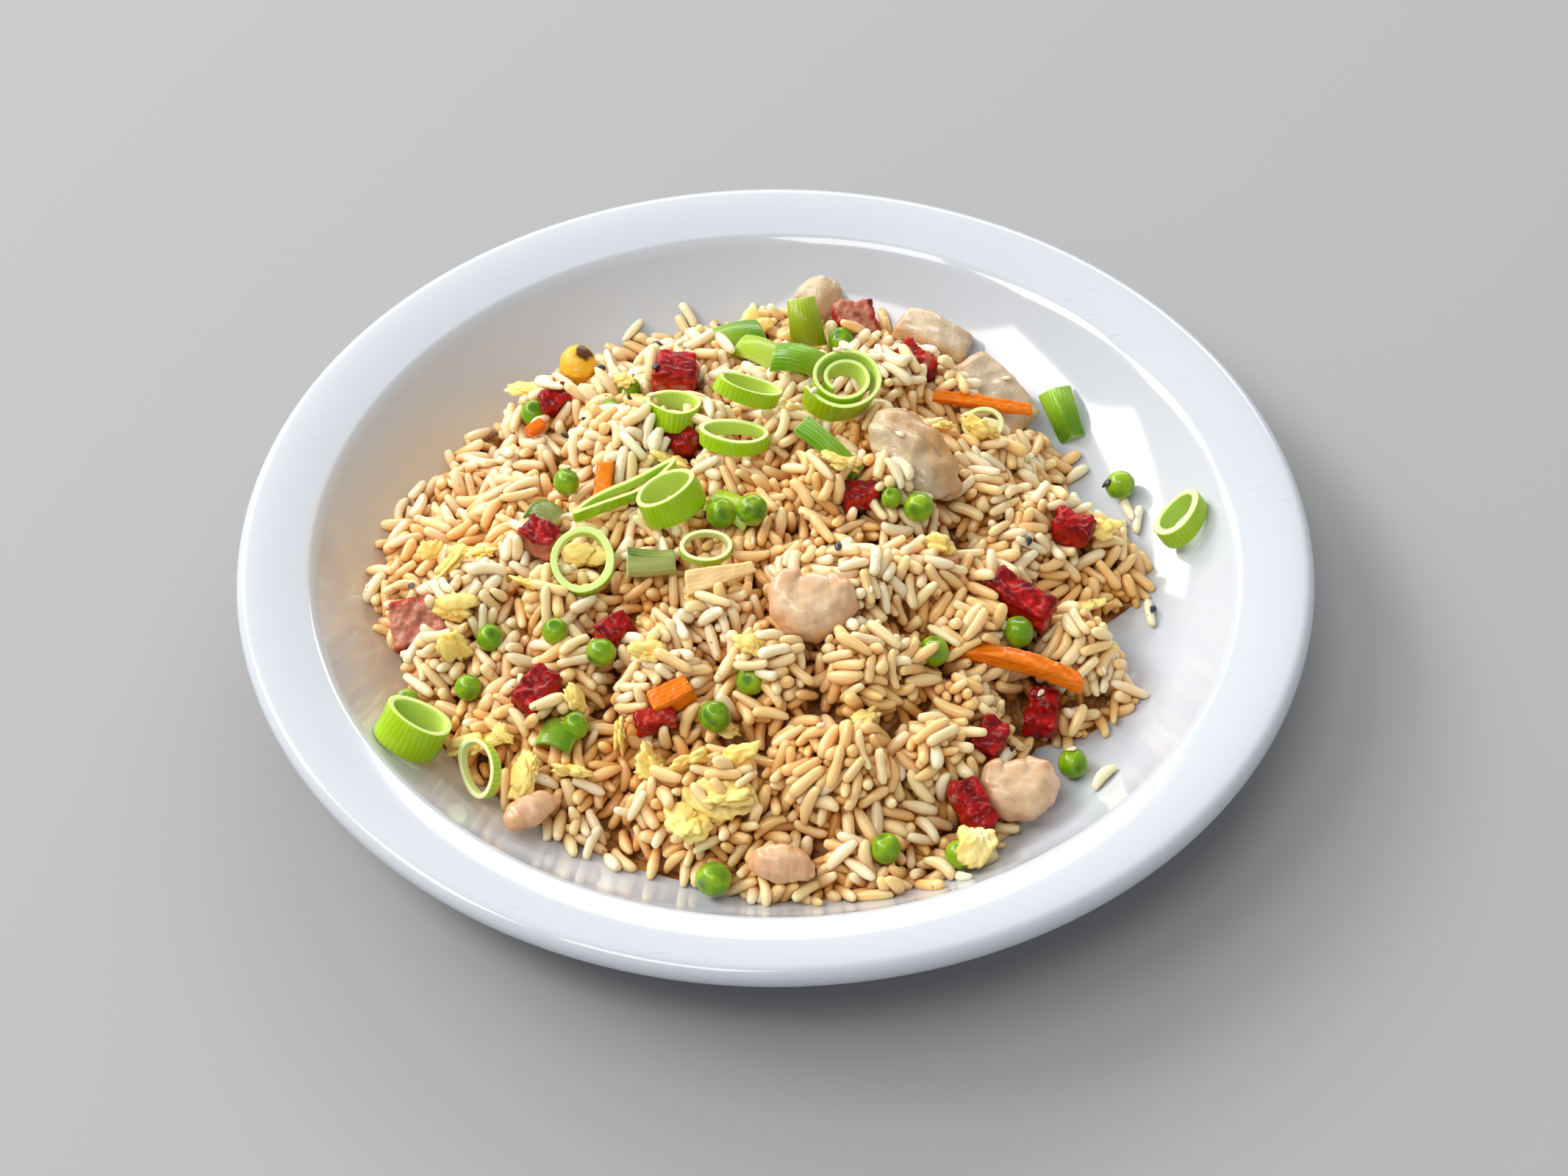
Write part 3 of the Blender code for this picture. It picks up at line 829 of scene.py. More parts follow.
def joined(name, model, places, details=None):
    """One mesh of many copies of model: places has each copy's points, details what to paint."""
    mesh = bpy.data.meshes.new(name)
    count, points = places.shape[:2]
    corners = np.array([i for face in model.polygons for i in face.vertices])
    sizes = np.array([len(face.vertices) for face in model.polygons])
    all_corners = (corners[None] + points * np.arange(count)[:, None]).ravel()
    all_sizes = np.tile(sizes, count)
    mesh.vertices.add(count * points)
    mesh.vertices.foreach_set("co", places.ravel())
    mesh.loops.add(len(all_corners))
    mesh.loops.foreach_set("vertex_index", all_corners)
    mesh.polygons.add(len(all_sizes))
    mesh.polygons.foreach_set("loop_start", np.concatenate([[0], np.cumsum(all_sizes)[:-1]]))
    mesh.update(calc_edges=True)
    mesh.validate()
    mesh.shade_smooth()
    piece = bpy.data.objects.new(name, mesh)
    bpy.context.scene.collection.objects.link(piece)
    if details is not None:
        paint(piece, *details.reshape(-1, details.shape[-1]).T)
    return piece


def rice_material(name, pale, tan):
    """Cooked rice: soft light inside each grain, an oily shine, sauce on some of it, and painted shade
    on the grains deeper in the heap.
    """
    shader = moist(name, 0.8, (3.4, 2.8, 1.8), 0.3, 0.5, 0.11)
    tone, along, depth = shader.painted()
    cloud = shader.noise(420, detail=4)
    colour = shader.mix((tone + (cloud - 0.5) * 0.5).held(), pale, tan)
    tip = (along - 0.5).math("ABSOLUTE", along - 0.5).step(0.34, 0.5) * shader.noise(160).step(0.45, 0.7)
    colour = shader.mix(tip * 0.5, colour, SAUCE_AND_SHADE)
    # painted shade: grains that lie deeper under the heap's top turn towards the sauce brown
    colour = shader.mix(depth.step(0.0, 0.7) * 0.9, colour, SAUCE_AND_SHADE)
    speck = shader.noise(650, detail=1).step(0.71, 0.76) * shader.noise(70).step(0.5, 0.6)
    colour = shader.mix(speck * 0.8, colour, (0.30, 0.12, 0.03))
    return shader.done(colour, cloud * 0.35 + 0.28, shader.noise(1300, detail=3), 0.00014, 0.5)


def heaped_over(heights, pieces, rng):
    """The heap's top with rice piled over one side of each of these pieces."""
    values = heights.values.copy()
    for piece in pieces:
        places = points_of(piece)
        middle, reach = places.mean(0), np.ptp(places, axis=0)[:2].max() / 2
        turn = rng.uniform(0, math.tau)
        x, y = middle[:2] + 0.75 * reach * np.array([math.cos(turn), math.sin(turn)])
        away = np.hypot(GRID_X - x, GRID_Y - y) / (0.6 * reach + 0.002)
        bank = values + (places[:, 2].max() + 0.0012 - values) * np.clip(1.25 - away, 0, 1)
        values = np.maximum(values, np.where(np.hypot(GRID_X, GRID_Y) < 0.098, bank, values))
    return Heights(values)


def make_rice(food, crumbs):
    """The grains in three kinds, pale, golden and browned, settled over the core."""
    rng = np.random.default_rng(7)
    core = Heights(np.maximum(TOP.values - SHELL, BARE.values - 0.0005)).blurred(0.002)
    solids = tree_of([piece.data for piece in food + crumbs])
    sunk = [piece for piece in food if piece.name.startswith(SUNK_FOOD)]
    proud = [piece for piece in food if piece not in sunk]
    top = heaped_over(TOP, sunk, rng)
    covers = (
        (tree_of([hull_of(piece) for piece in proud]), OVER_PROUD),
        (tree_of([hull_of(piece) for piece in sunk] + [piece.data for piece in crumbs]), OVER_SUNK),
    )
    grains = sown_grains(rng, top, core, covers, solids)
    grains.settle(core, surface_balls([piece.data for piece in food + crumbs], rng))
    model = turned_form("grain", 8, 7, GRAIN_RINGS)
    shape = points_of(model)
    tones = rice_tones(grains, rng)
    low, high = np.quantile(tones, (PALE_SHARE, GOLDEN_SHARE))
    kinds = (
        ("pale_rice", tones < low, PALE_RICE),
        ("golden_rice", (tones >= low) & (tones < high), GOLDEN_RICE),
        ("browned_rice", tones >= high, BROWNED_RICE),
    )
    pieces = []
    for name, which, colours in kinds:
        chosen, chosen_tones = grains.kept(which), tones[which]
        if name == "pale_rice":
            stray = stray_grains()
            chosen = chosen.with_more(stray)
            chosen_tones = np.append(chosen_tones, np.full(len(stray.centres), STRAY_TONE))
        piece = joined(name, model.data, *grain_points(chosen, shape, rng, chosen_tones))
        pieces.append(finished(piece, rice_material(name, *colours), "rice", "rice_heap"))
    bpy.data.objects.remove(model)
    make_core(core)
    return pieces


def stray_grains():
    """The grains that lie apart, flat on the plate."""
    spots = np.array(STRAY_GRAINS, float)
    x, y = spots[:, 0] * MM, spots[:, 1] * MM
    normals = BARE.normals(x, y)
    turn = np.radians(spots[:, 2])
    flat = np.stack([np.cos(turn), np.sin(turn), np.zeros(len(turn))], axis=1)
    axes = flat - (flat * normals).sum(1, keepdims=True) * normals
    axes /= np.linalg.norm(axes, axis=1, keepdims=True)
    centres = np.stack([x, y, BARE.at(x, y)], axis=1) + normals * 0.0016
    lengths = np.linspace(0.0086, 0.0100, len(turn))
    return Grains(centres, axes, lengths, np.full(len(turn), 0.00145))


def rice_tones(grains, rng):
    """How browned each grain is: chance, swells over the heap, and browner towards the front right."""
    x, y = grains.centres[:, 0], grains.centres[:, 1]
    swell = waves(grains.centres, 0.06, 3)
    side = (x - 1.2 * y) / 0.2
    return 0.45 + 0.14 * swell + 0.20 * side + rng.normal(0, 0.16, len(x))


def grain_points(grains, shape, rng, tones):
    """Each grain's points in place, bowed and flattened a little, and its tone, length and depth; the
    depth is painted as shade.
    """
    count = len(grains.centres)
    spin = rng.normal(size=(count, 3))
    side = np.cross(grains.axes, spin)
    side /= np.linalg.norm(side, axis=1, keepdims=True)
    third = np.cross(grains.axes, side)
    bow = rng.normal(0, 0.2, count)[:, None] * GRAIN_RADIUS * 2.6
    flat = rng.uniform(0.82, 0.98, count)[:, None]
    along, across, high = shape.T
    flip = np.where(rng.random(count) < 0.5, 1.0, -1.0)[:, None]
    swells, phase = rng.uniform(1.5, 5, (count, 1)), rng.uniform(0, math.tau, (count, 1))
    bulge = 1 + 0.10 * np.sin(along * swells + phase)
    places = grains.centres[:, None]
    places = places + (flip * along * grains.lengths[:, None] / 2)[:, :, None] * grains.axes[:, None]
    thick = grains.radii[:, None] * bulge
    places = places + (across * thick + bow * (0.4 - along**2))[:, :, None] * side[:, None]
    places = places + (high * thick * flat)[:, :, None] * third[:, None]
    top = TOP.at(places[:, :, 0], places[:, :, 1]) + 0.0006
    # how deep each point lies under the heap's top, which the rice material paints as shade
    deep = np.clip((top - places[:, :, 2]) / SHELL, 0, 1)
    tone = np.repeat(np.clip(tones[:, None], 0, 1), len(along), axis=1)
    end = np.broadcast_to((along + 1) / 2, deep.shape)
    return places, np.stack([tone, end, deep], axis=-1)


def hull_of(piece):
    """The mesh stretched round a piece, over its hollows."""
    drawn = bmesh.new()
    for place in points_of(piece):
        drawn.verts.new(place)
    found = bmesh.ops.convex_hull(drawn, input=drawn.verts)
    loose = [e for e in found["geom_interior"] if isinstance(e, bmesh.types.BMVert)]
    bmesh.ops.delete(drawn, geom=loose, context="VERTS")
    mesh = bpy.data.meshes.new("cover")
    drawn.to_mesh(mesh)
    drawn.free()
    return mesh


def make_core(ground):
    """The heart of the heap under the loose grains, bedded on the plate, dark brown as painted shade for
    the deep gaps between the grains.
    """
    bpy.ops.mesh.primitive_uv_sphere_add(segments=144, ring_count=72, radius=1)
    core = in_order(added("rice_core"))
    places = points_of(core)
    angle = np.arctan2(places[:, 1], places[:, 0])
    share = np.hypot(places[:, 0], places[:, 1])
    r = share * (heap_reach(np.cos(angle), np.sin(angle)) - 0.004)
    x, y = r * np.cos(angle), r * np.sin(angle)
    bare = floor_height(r)
    top = np.maximum(ground.at(x, y), bare + 0.0004)
    rough = waves(np.stack([x, y, top], axis=1), 0.006, 5) * 0.0005 * (1 - share**6)
    z = np.where(places[:, 2] > 0, top + rough - 0.0004, bare + 0.0002)
    move_points(core, np.stack([x, y, z], axis=1))
    smooth(core, 60)
    spread = (0.002, 0.001, 0.0006)
    shader = Shader("rice_heart", Subsurface_Weight=0.2, Subsurface_Radius=spread, Subsurface_Scale=1.0)
    cloud = shader.noise(260, detail=4)
    # painted shade: the core's dark browns stand for the shade deep between the grains
    colour = shader.mix(cloud.step(0.3, 0.7), (0.22, 0.07, 0.012), (0.50, 0.22, 0.05))
    material = shader.done(colour, cloud * 0.3 + 0.25, shader.cells(420), 0.0012, 0.9)
    finished(core, material, "rice", "rice_heap")


# ---------------------------------------------------------------- the food


def pea_skin():
    """Pea green, darker in the dimple, with painted shade in the folds."""
    shader = moist("pea_skin", 0.25, (1.2, 2.2, 0.6), 0.15, 0.5, 0.07)
    cloud = shader.noise(240, detail=3)
    dimple_and_fold_shade = shader.painted()[0]
    colour = shader.mix(cloud.step(0.35, 0.7), (0.15, 0.32, 0.003), (0.32, 0.48, 0.010))
    # the dimple darkens, and the folds darken as painted shade in the creases
    colour = shader.mix(dimple_and_fold_shade * 0.8, colour, (0.04, 0.12, 0.003))
    return shader.done(colour, cloud * 0.2 + 0.18, shader.noise(800, detail=2), 0.0001, 0.4)


def pea(name, middle, radius, seed, wrinkle, material, *nodes):
    """A cooked pea, a little squashed, with one dimple and a loose skin."""
    bpy.ops.mesh.primitive_uv_sphere_add(segments=40, ring_count=24, radius=radius, location=middle)
    piece = added(name)
    bpy.ops.object.transform_apply(location=True)
    rng = np.random.default_rng(seed)
    places = points_of(in_order(piece))
    out = (places - middle) / radius
    dimple = rng.normal(size=3) + [0, -0.4, 1.2]
    dimple /= np.linalg.norm(dimple)
    near = np.clip((out @ dimple - 0.80) / 0.20, 0, 1) ** 2
    folds = np.abs(waves(out, 1.1, seed, 2)) * wrinkle
    squash = 1 - 0.06 * np.abs(out @ np.roll(dimple, 1)) ** 2
    scale = squash - 0.10 * near - 0.035 * folds
    move_points(piece, middle + out * radius * scale[:, None])
    # the folds are painted darker, as painted shade in the creases
    return dressed(piece, [near + folds * 0.6], material, "pea", *nodes)


def middle_of(node):
    """The middle of a CAD node's box, and its size."""
    low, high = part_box(node)
    return np.array((low + high) / 2), np.array(high - low)


# Peas that show only in part between the grains: x, y and radius in millimetres.
LOOSE_PEAS = (
    (-73, -30, 3.6), (-6, -51, 4.0), (-40, 56, 3.6), (-44.5, 45.6, 3.4), (18, 81, 3.8), (-78, -43, 3.5),
    (-94, -43, 3.4), (-50, -59, 3.6), (45, -95, 3.8), (27, -95, 3.9),
)
WRINKLED_PEAS = ("pea_03", "pea_04", "pea_10")


def make_peas():
    """The peas that show whole, then those that the rice half hides."""
    skin = pea_skin()
    pieces = []
    for seed, node in nodes_of("pea_"):
        middle, size = middle_of(node)
        wrinkle = 0.9 if node in WRINKLED_PEAS else 0.25
        pieces.append(pea(node + "_whole", middle, size.mean() / 2, seed, wrinkle, skin, node))
    for number, (x, y, radius) in enumerate(LOOSE_PEAS, 1):
        middle = np.array([x * MM, y * MM, HEAP.at(x * MM, y * MM) + 0.0006])
        pieces.append(pea(f"half_sunk_pea_{number}", middle, radius * MM, number + 49, 0.3, skin))
    return pieces


def pork_material():
    """Red flesh with fibres and streaks of fat, under a darker rind."""
    shader = moist("roast_pork", 0.15, (3, 1, 0.7), 0.15, 0.2, 0.12)
    crust, fibre, fat = shader.painted()
    cloud = shader.noise(300, detail=4)
    flesh = shader.mix(cloud.step(0.3, 0.7), (0.36, 0.006, 0.002), (0.55, 0.030, 0.010))
    flesh = shader.mix(fibre * 0.6, flesh, (0.20, 0.004, 0.004))
    flesh = shader.mix(fat, flesh, (0.56, 0.27, 0.17))
    rind = shader.mix(cloud.step(0.35, 0.75), (0.15, 0.001, 0.0005), (0.50, 0.004, 0.002))
    height = shader.noise(700, detail=4) + shader.cells(500) * 0.5
    return shader.done(shader.mix(crust, flesh, rind), cloud * 0.3 + 0.2, height, 0.0004, 0.7)


PORK_LUMPS = 0.00034  # how far the cut faces of the pork rise and fall


def torn(piece, seed):
    """Gives a block of pork torn fibres along it and uneven faces."""
    remeshed(piece, 0.00048, 7)
    local = Local(piece)
    places, normals = points_of(piece), normals_of(piece)
    fibre = np.sin(local.along[:, 1] / 0.00042 + 3 * waves(places, 0.008, seed, 2))
    rough = waves(places, 0.0045, seed + 1) + fibre * 0.10 + waves(places, 0.0017, seed + 5, 2) * 0.35
    move_points(piece, places + normals * (rough * PORK_LUMPS)[:, None])
    return local, normals, fibre


# Bits of pork that show only in part: middle, size and turn, in millimetres and degrees.
PORK_BITS = (
    ((-60, 55, 27), (9, 6, 6), 20), ((-27, 31, 36), (12, 7, 6), -25), ((-30, -59, 27.5), (10, 5, 6), 15),
    ((53.5, -61, 22), (10, 7, 7), 60), ((-41, -31, 30), (9, 6, 6), 35), ((8, -29, 37), (6, 5, 5), 10),
)
PINK_PORK = ("pork_03", "pork_05", "pork_02")


def block(name, middle, size, turn):
    """A cut block of food with softened edges, its middle and size in millimetres."""
    place = [c * MM for c in middle]
    spin = (math.radians(12), math.radians(-8), math.radians(turn))
    bpy.ops.mesh.primitive_cube_add(size=1, location=place, rotation=spin, scale=[c * MM for c in size])
    piece = added(name)
    bpy.ops.object.transform_apply(location=True, rotation=True, scale=True)
    edit(piece)
    bpy.ops.mesh.select_all(action="SELECT")
    bpy.ops.mesh.bevel(offset=0.0004, segments=2)
    close_edit()
    return piece


def make_pork():
    """Roast pork with a red rind: most pieces show their dark side, the pink ones their cut face."""
    material = pork_material()
    blocks = [(copy_of(node), [node]) for _, node in nodes_of("pork_")]
    blocks += [(block(f"pork_bit_{i}", *bit), []) for i, bit in enumerate(PORK_BITS, 1)]
    pieces = []
    for seed, (piece, stands_for) in enumerate(blocks):
        local, normals, fibre = torn(piece, 20 + seed)
        facing = normals @ local.axes.T
        blotch = waves(points_of(piece), 0.006, seed) * 0.35
        if piece.name.startswith(PINK_PORK):
            crust = np.clip(np.abs(local.share[:, 1]) * 3.0 - 1.9 + blotch * 0.5, 0, 1)
            fat = np.clip(0.75 - crust + blotch * 0.4, 0, 1)
        else:
            crust = np.clip(facing[:, 2] * 2.2 - 0.2, 0, 1) + np.clip(facing[:, 0] * 2.2 - 0.6, 0, 1)
            fat = np.clip(waves(points_of(piece), 0.007, seed + 9) * 1.3 - 1.0, 0, 0.5)
        detail = crust + blotch * (crust < 0.9), fibre * 0.5 + 0.5, fat
        pieces.append(dressed(piece, detail, material, "pork", *stands_for))
    return pieces


def prawn_material():
    """Pale flesh, orange and dotted along the back."""
    shader = moist("prawn_flesh", 0.4, (4, 2, 1.2), 0.3, 0.45, 0.12)
    edge, groove, belly = shader.painted()
    cloud = shader.noise(260, detail=4)
    dots = shader.noise(1400, detail=1).step(0.60, 0.72)
    colour = shader.mix(cloud.step(0.3, 0.75), (0.61, 0.40, 0.22), (0.72, 0.53, 0.34))
    colour = shader.mix(edge * (0.42 + dots * 0.5).held(), colour, (0.74, 0.26, 0.07))
    colour = shader.mix(groove * 0.45, colour, (0.66, 0.28, 0.12))
    colour = shader.mix(belly * 0.4, colour, (0.82, 0.60, 0.40))
    return shader.done(colour, cloud * 0.25 + 0.2, shader.noise(900, detail=3), 0.0002, 0.5)


def curled_shut(piece):
    """Fills the middle of a prawn's curl with its belly."""
    local = Local(piece)
    wide, deep, high = local.half * [0.74, 0.80, 0.84]
    bpy.ops.object.select_all(action="DESELECT")
    bpy.ops.mesh.primitive_uv_sphere_add(segments=32, ring_count=16, radius=1)
    belly = in_order(added("belly"))
    x, y, z = points_of(belly).T
    spread = np.stack([x * wide, y * deep, z * high], axis=1) @ local.axes
    move_points(belly, spread + local.middle)
    only(piece)
    belly.select_set(True)
    bpy.ops.object.join()


# A bit of prawn that shows only in part: middle, size and turn, in millimetres and degrees.
PRAWN_BIT = ((40, -10, 33), (14, 6, 6), 12)


def make_prawns():
    """Peeled prawns, with a groove between the segments and orange along the back."""
    material = prawn_material()
    pieces = []
    for seed, node in nodes_of("prawn_"):
        curled = seed < 2
        piece = copy_of(node)
        if curled:
            curled_shut(piece)
        remeshed(piece, 0.00042, 18 if curled else 8)
        local = Local(piece)
        places, normals = points_of(piece), normals_of(piece)
        flat = local.along[:, :2] / local.half[:2]
        angle = np.arctan2(flat[:, 1], flat[:, 0])
        out = np.hypot(flat[:, 0], flat[:, 1])
        if curled:
            band = angle * 5 / math.tau + waves(places, 0.02, seed, 1) * 0.2
        else:
            band = local.along[:, 0] / 0.0046 + waves(places, 0.02, seed, 1) * 0.15
        groove = np.exp(-((np.abs((band % 1) - 0.5) / 0.10) ** 2)) * np.clip(out * 1.6 - 0.5, 0, 1)
        dips = waves(places, 0.009, seed + 60) * 0.00022 - groove * 0.00022
        plump = 0.0011 if curled else 0.0004
        move_points(piece, places + normals * (dips + plump)[:, None])
        edge = np.clip((out - 0.72) * 3.2, 0, 1) * (0.6 + 0.4 * waves(places, 0.006, seed, 2))
        edge = np.clip(edge + (0 if curled else 0.5), 0, 1)
        belly = np.clip(0.55 - out, 0, 1) * 2
        pieces.append(dressed(piece, (edge, groove, belly), material, "prawn", node))
    bit = remeshed(block("prawn_bit", *PRAWN_BIT), 0.0005, 12)
    pieces.append(dressed(bit, (0.8, 0.3, 0.0), material, "prawn"))
    return pieces


def chicken_material():
    """Cooked flesh, browned, clear or burnt in places."""
    shader = moist("cooked_chicken", 0.25, (4, 2, 1), 0.3, 0.5, 0.10)
    brown, clear, char = shader.painted()
    cloud = shader.noise(200, detail=4)
    colour = shader.mix(cloud.step(0.3, 0.7), (0.58, 0.43, 0.27), (0.70, 0.56, 0.38))
    colour = shader.mix((brown + (cloud - 0.5) * 0.5).held(), colour, (0.58, 0.29, 0.09))
    colour = shader.mix(clear * 0.6, colour, (0.52, 0.44, 0.27))
    colour = shader.mix(char * cloud.step(0.42, 0.58), colour, (0.10, 0.03, 0.01))
    return shader.done(colour, cloud * 0.3 + 0.15, shader.noise(700, detail=6, rough=0.65), 0.0006, 0.8)


CHAR_SPOT = (0.0300, 0.0365)  # a burnt spot on the browned chunk


def make_chicken():
    """Chicken: a lump, two slices with browned rims, and a chunk browned on its right side."""
    material = chicken_material()
    pieces = []
    for seed, node in nodes_of("chicken_"):
        piece = remeshed(copy_of(node), 0.0005, 14 if node in ("chicken_1", "chicken_4") else 45)
        local, normals = Local(piece), normals_of(piece)
        places = points_of(piece)
        cloud = waves(places, 0.012, seed + 5)
        places = places + normals * (waves(places, 0.010, seed + 70, 2) * 0.00030)[:, None]
        move_points(piece, places)
        away = np.abs(local.share[:, :2]).max(1) + cloud * 0.10
        rim = np.clip(away * 3.2 - 2.3, 0, 1)
        if node == "chicken_4":
            lobes = np.abs(waves(local.along * [0.5, 1.0, 1.0], 0.010, 3, 1)) * 0.0009
            move_points(piece, places + normals * lobes[:, None])
            side = (places - places.mean(0)) @ [0.8, 0.5, 0.35] / 0.006
            rim = np.clip(side * 0.8 + 0.25 + cloud * 0.35, 0, 1)
        if node == "chicken_1":
            rim = np.clip(0.15 + cloud * 0.5, 0, 1)
        char = np.clip(waves(places, 0.010, seed + 31) * 2 - 2.1, 0, 1) * rim
        clear = np.clip(cloud, 0, 1) * 0.5
        if node == "chicken_4":
            clear = np.clip(0.8 - side * 0.7, 0, 1)
            char = np.clip(1.5 - np.hypot(*(places[:, :2] - CHAR_SPOT).T) / 0.0035, 0, 0.9)
        pieces.append(dressed(piece, (rim, clear, char), material, "chicken", node))
    return pieces


def egg_material(name, pale, deep):
    """Set egg, deeper in its folds, with browned spots."""
    shader = moist(name, 0.3, (3, 2.2, 1), 0.25, 0.25, 0.15)
    fold, browned, _ = shader.painted()
    cloud = shader.noise(260, detail=4)
    colour = shader.mix((fold * 0.7 + cloud * 0.4).held(), pale, deep)
    colour = shader.mix(browned, colour, (0.09, 0.025, 0.004))
    return shader.done(colour, cloud * 0.3 + 0.25, shader.noise(650, detail=5), 0.0004, 0.8)


def crumpled(piece, seed, amount, size):
    """Works folds into a piece of egg, and gives back how deep in them each point lies."""
    places, normals = points_of(piece), normals_of(piece)
    fold = np.abs(waves(places, size, seed, 1)) + 0.35 * np.abs(waves(places, size / 3, seed + 40, 2))
    move_points(piece, places + normals * ((0.55 - fold) * amount)[:, None])
    return 0.9 - fold


# Small bits of egg between the grains: x, y and size in millimetres.
EGG_BITS = (
    (-76, -59, 8), (-39, -61, 7), (104, 1, 8), (42, -10, 6), (-82.5, -22, 7), (-62, -70, 9),
    (-30, -70, 8), (-22, -88, 9), (-12, -84, 7), (-84, -8, 6), (-50, -52, 6), (22, -62, 5),
    (60, -100, 7), (86, 10, 6),
)
# Swathes of crumbs: x, y, spread and count.
EGG_SWATHES = (
    (-70, -50, 22, 9), (-80, 0, 14, 5), (-30, 70, 22, 4), (-45, 25, 22, 5), (50, 0, 30, 5),
    (-10, -70, 26, 6),
)


def egg_bits(material):
    """Torn crumbs of egg, each its own shape, lying in the top of the rice."""
    rng = np.random.default_rng(61)
    spots = list(EGG_BITS)
    for x, y, spread, count in EGG_SWATHES:
        for _ in range(count):
            spots.append((x + rng.normal() * spread, y + rng.normal() * spread, rng.uniform(4, 8)))
    bpy.ops.mesh.primitive_ico_sphere_add(subdivisions=4, radius=1)
    model = added("crumb")
    shape = points_of(model)
    places, colours = [], []
    for number, (x, y, size) in enumerate(spots):
        x, y, size = x * MM, y * MM, size * MM / 2
        if math.hypot(x, y) > heap_reach(x, y) - 0.004:
            continue
        fold = np.abs(waves(shape, 1.9, number, 1)) + 0.4 * np.abs(waves(shape, 0.8, number + 90, 2))
        grown = shape * (0.62 + 0.55 * fold)[:, None] * [1.25, 0.9, 0.42] * size
        turn = np.linalg.qr(np.eye(3) + rng.normal(size=(3, 3)) * 0.45)[0]
        places.append(grown @ turn + [x, y, float(TOP.at(x, y)) - 0.0004])
        colours.append(np.stack([0.8 - fold, fold * 0], axis=1))
    piece = joined("egg_crumbs", model.data, np.array(places), np.array(colours))
    bpy.data.objects.remove(model)
    return finished(piece, material, "egg")


def make_eggs():
    """The curds, the golden slip with its dark spot, and the crumbs, which are one piece."""
    curd = egg_material("egg_curd", (0.99, 0.88, 0.46), (0.97, 0.64, 0.10))
    pieces = []
    for seed, node in nodes_of("egg_curd"):
        piece = remeshed(copy_of(node), 0.0005, 3)
        depth = crumpled(piece, seed, 0.0020, 0.011)
        pieces.append(dressed(piece, (depth, 0), curd, "egg", node))
    yolk = remeshed(copy_of("egg_yolk"), 0.0004, 5)
    places = points_of(yolk)
    middle = (places.min(0) + places.max(0)) / 2
    dome = 1 - (np.linalg.norm((places - middle)[:, :2], axis=1) / np.ptp(places[:, 0]) * 2) ** 2
    places[:, 2] += np.clip(dome, 0, 1) * np.clip((places[:, 2] - middle[2]) / 0.001, 0, 1) * 0.0026
    move_points(yolk, places)
    away = np.hypot(*(places - middle - [0.0012, 0.0010, 0])[:, :2].T)
    spot = np.clip(2.4 - away / 0.0012 + waves(places, 0.004, 2) * 0.7, 0, 1)
    gold = egg_material("egg_yolk", (0.86, 0.56, 0.05), (0.76, 0.42, 0.01))
    pieces.append(dressed(yolk, (0.8, spot * (places[:, 2] > middle[2])), gold, "egg", "egg_yolk"))
    return pieces, egg_bits(egg_material("egg_crumb", (0.98, 0.79, 0.28), (0.95, 0.55, 0.04)))


def carrot_material():
    """Orange flesh with cut lines."""
    shader = moist("carrot_flesh", 0.3, (4, 1.4, 0.5), 0.15, 0.3, 0.12)
    streak = shader.painted()[0]
    cloud = shader.noise(330, detail=3)
    colour = shader.mix((streak * 0.5 + cloud * 0.5).held(), (0.68, 0.10, 0.002), (0.86, 0.27, 0.005))
    return shader.done(colour, cloud * 0.3 + 0.2, shader.noise(900, detail=3), 0.0002, 0.5)


def bamboo_material():
    """Cream flesh with faint lines."""
    shader = moist("bamboo_shoot", 0.5, (3, 2, 1), 0.25, 0.25, 0.15)
    streak = shader.painted()[0]
    colour = shader.mix(streak * 0.3, (0.82, 0.61, 0.29), (0.74, 0.46, 0.15))
    return shader.done(colour, shader.noise(300) * 0.3 + 0.25, shader.noise(900, detail=3), 0.0002, 0.5)


# A scrap of carrot under the rice: middle, size and turn.
CARROT_SCRAP = ((-65, 46, 25.5), (5.5, 3.2, 3), 38)


def make_sticks():
    """Carrot and bamboo, with fine cut lines along them."""
    orange, cream = carrot_material(), bamboo_material()
    pieces = []
    for seed, node in nodes_of("carrot_", "bamboo_"):
        piece = copy_of(node)
        if node.startswith("bamboo"):
            local = Local(piece)
            narrow = (local.along[:, 1] * (0.42 - 0.22 * local.share[:, 0]))[:, None] * local.axes[1]
            move_points(piece, points_of(piece) - narrow)
        remeshed(piece, 0.00036, 3)
        local = Local(piece)
        places, normals = points_of(piece), normals_of(piece)
        streak = np.sin(local.along[:, 1] / 0.00019 + 2 * waves(places, 0.02, seed, 2))
        dents = waves(places, 0.005, seed + 3) * 0.00014 + streak * 0.00003
        move_points(piece, places + normals * dents[:, None])
        kind = (orange, "carrot") if node.startswith("carrot") else (cream, "bamboo")
        pieces.append(dressed(piece, [streak * 0.5 + 0.5], *kind, node))
    scrap = remeshed(block("carrot_scrap", *CARROT_SCRAP), 0.0004, 6)
    pieces.append(dressed(scrap, [0.2], orange, "carrot"))
    return pieces


def onion_material(name, outer, inner, cut):
    """Spring onion: ribbed green outside, paler and moist inside, palest where it is cut."""
    shader = moist(name, 0.3, (1.6, 2.6, 0.6), 0.15, 0.3, 0.12)
    outside, rim, rib = shader.painted()
    cloud = shader.noise(220, detail=3)
    colour = shader.mix(outside, inner, outer)
    colour = shader.mix(rib * 0.4, colour, tuple(0.5 * c for c in outer))
    colour = shader.mix(cloud.step(0.4, 0.8) * 0.12, colour, cut)
    colour = shader.mix(rim * 0.8, colour, cut)
    return shader.done(colour, cloud * 0.25 + 0.2, shader.noise(1100, detail=2), 0.0001, 0.4)


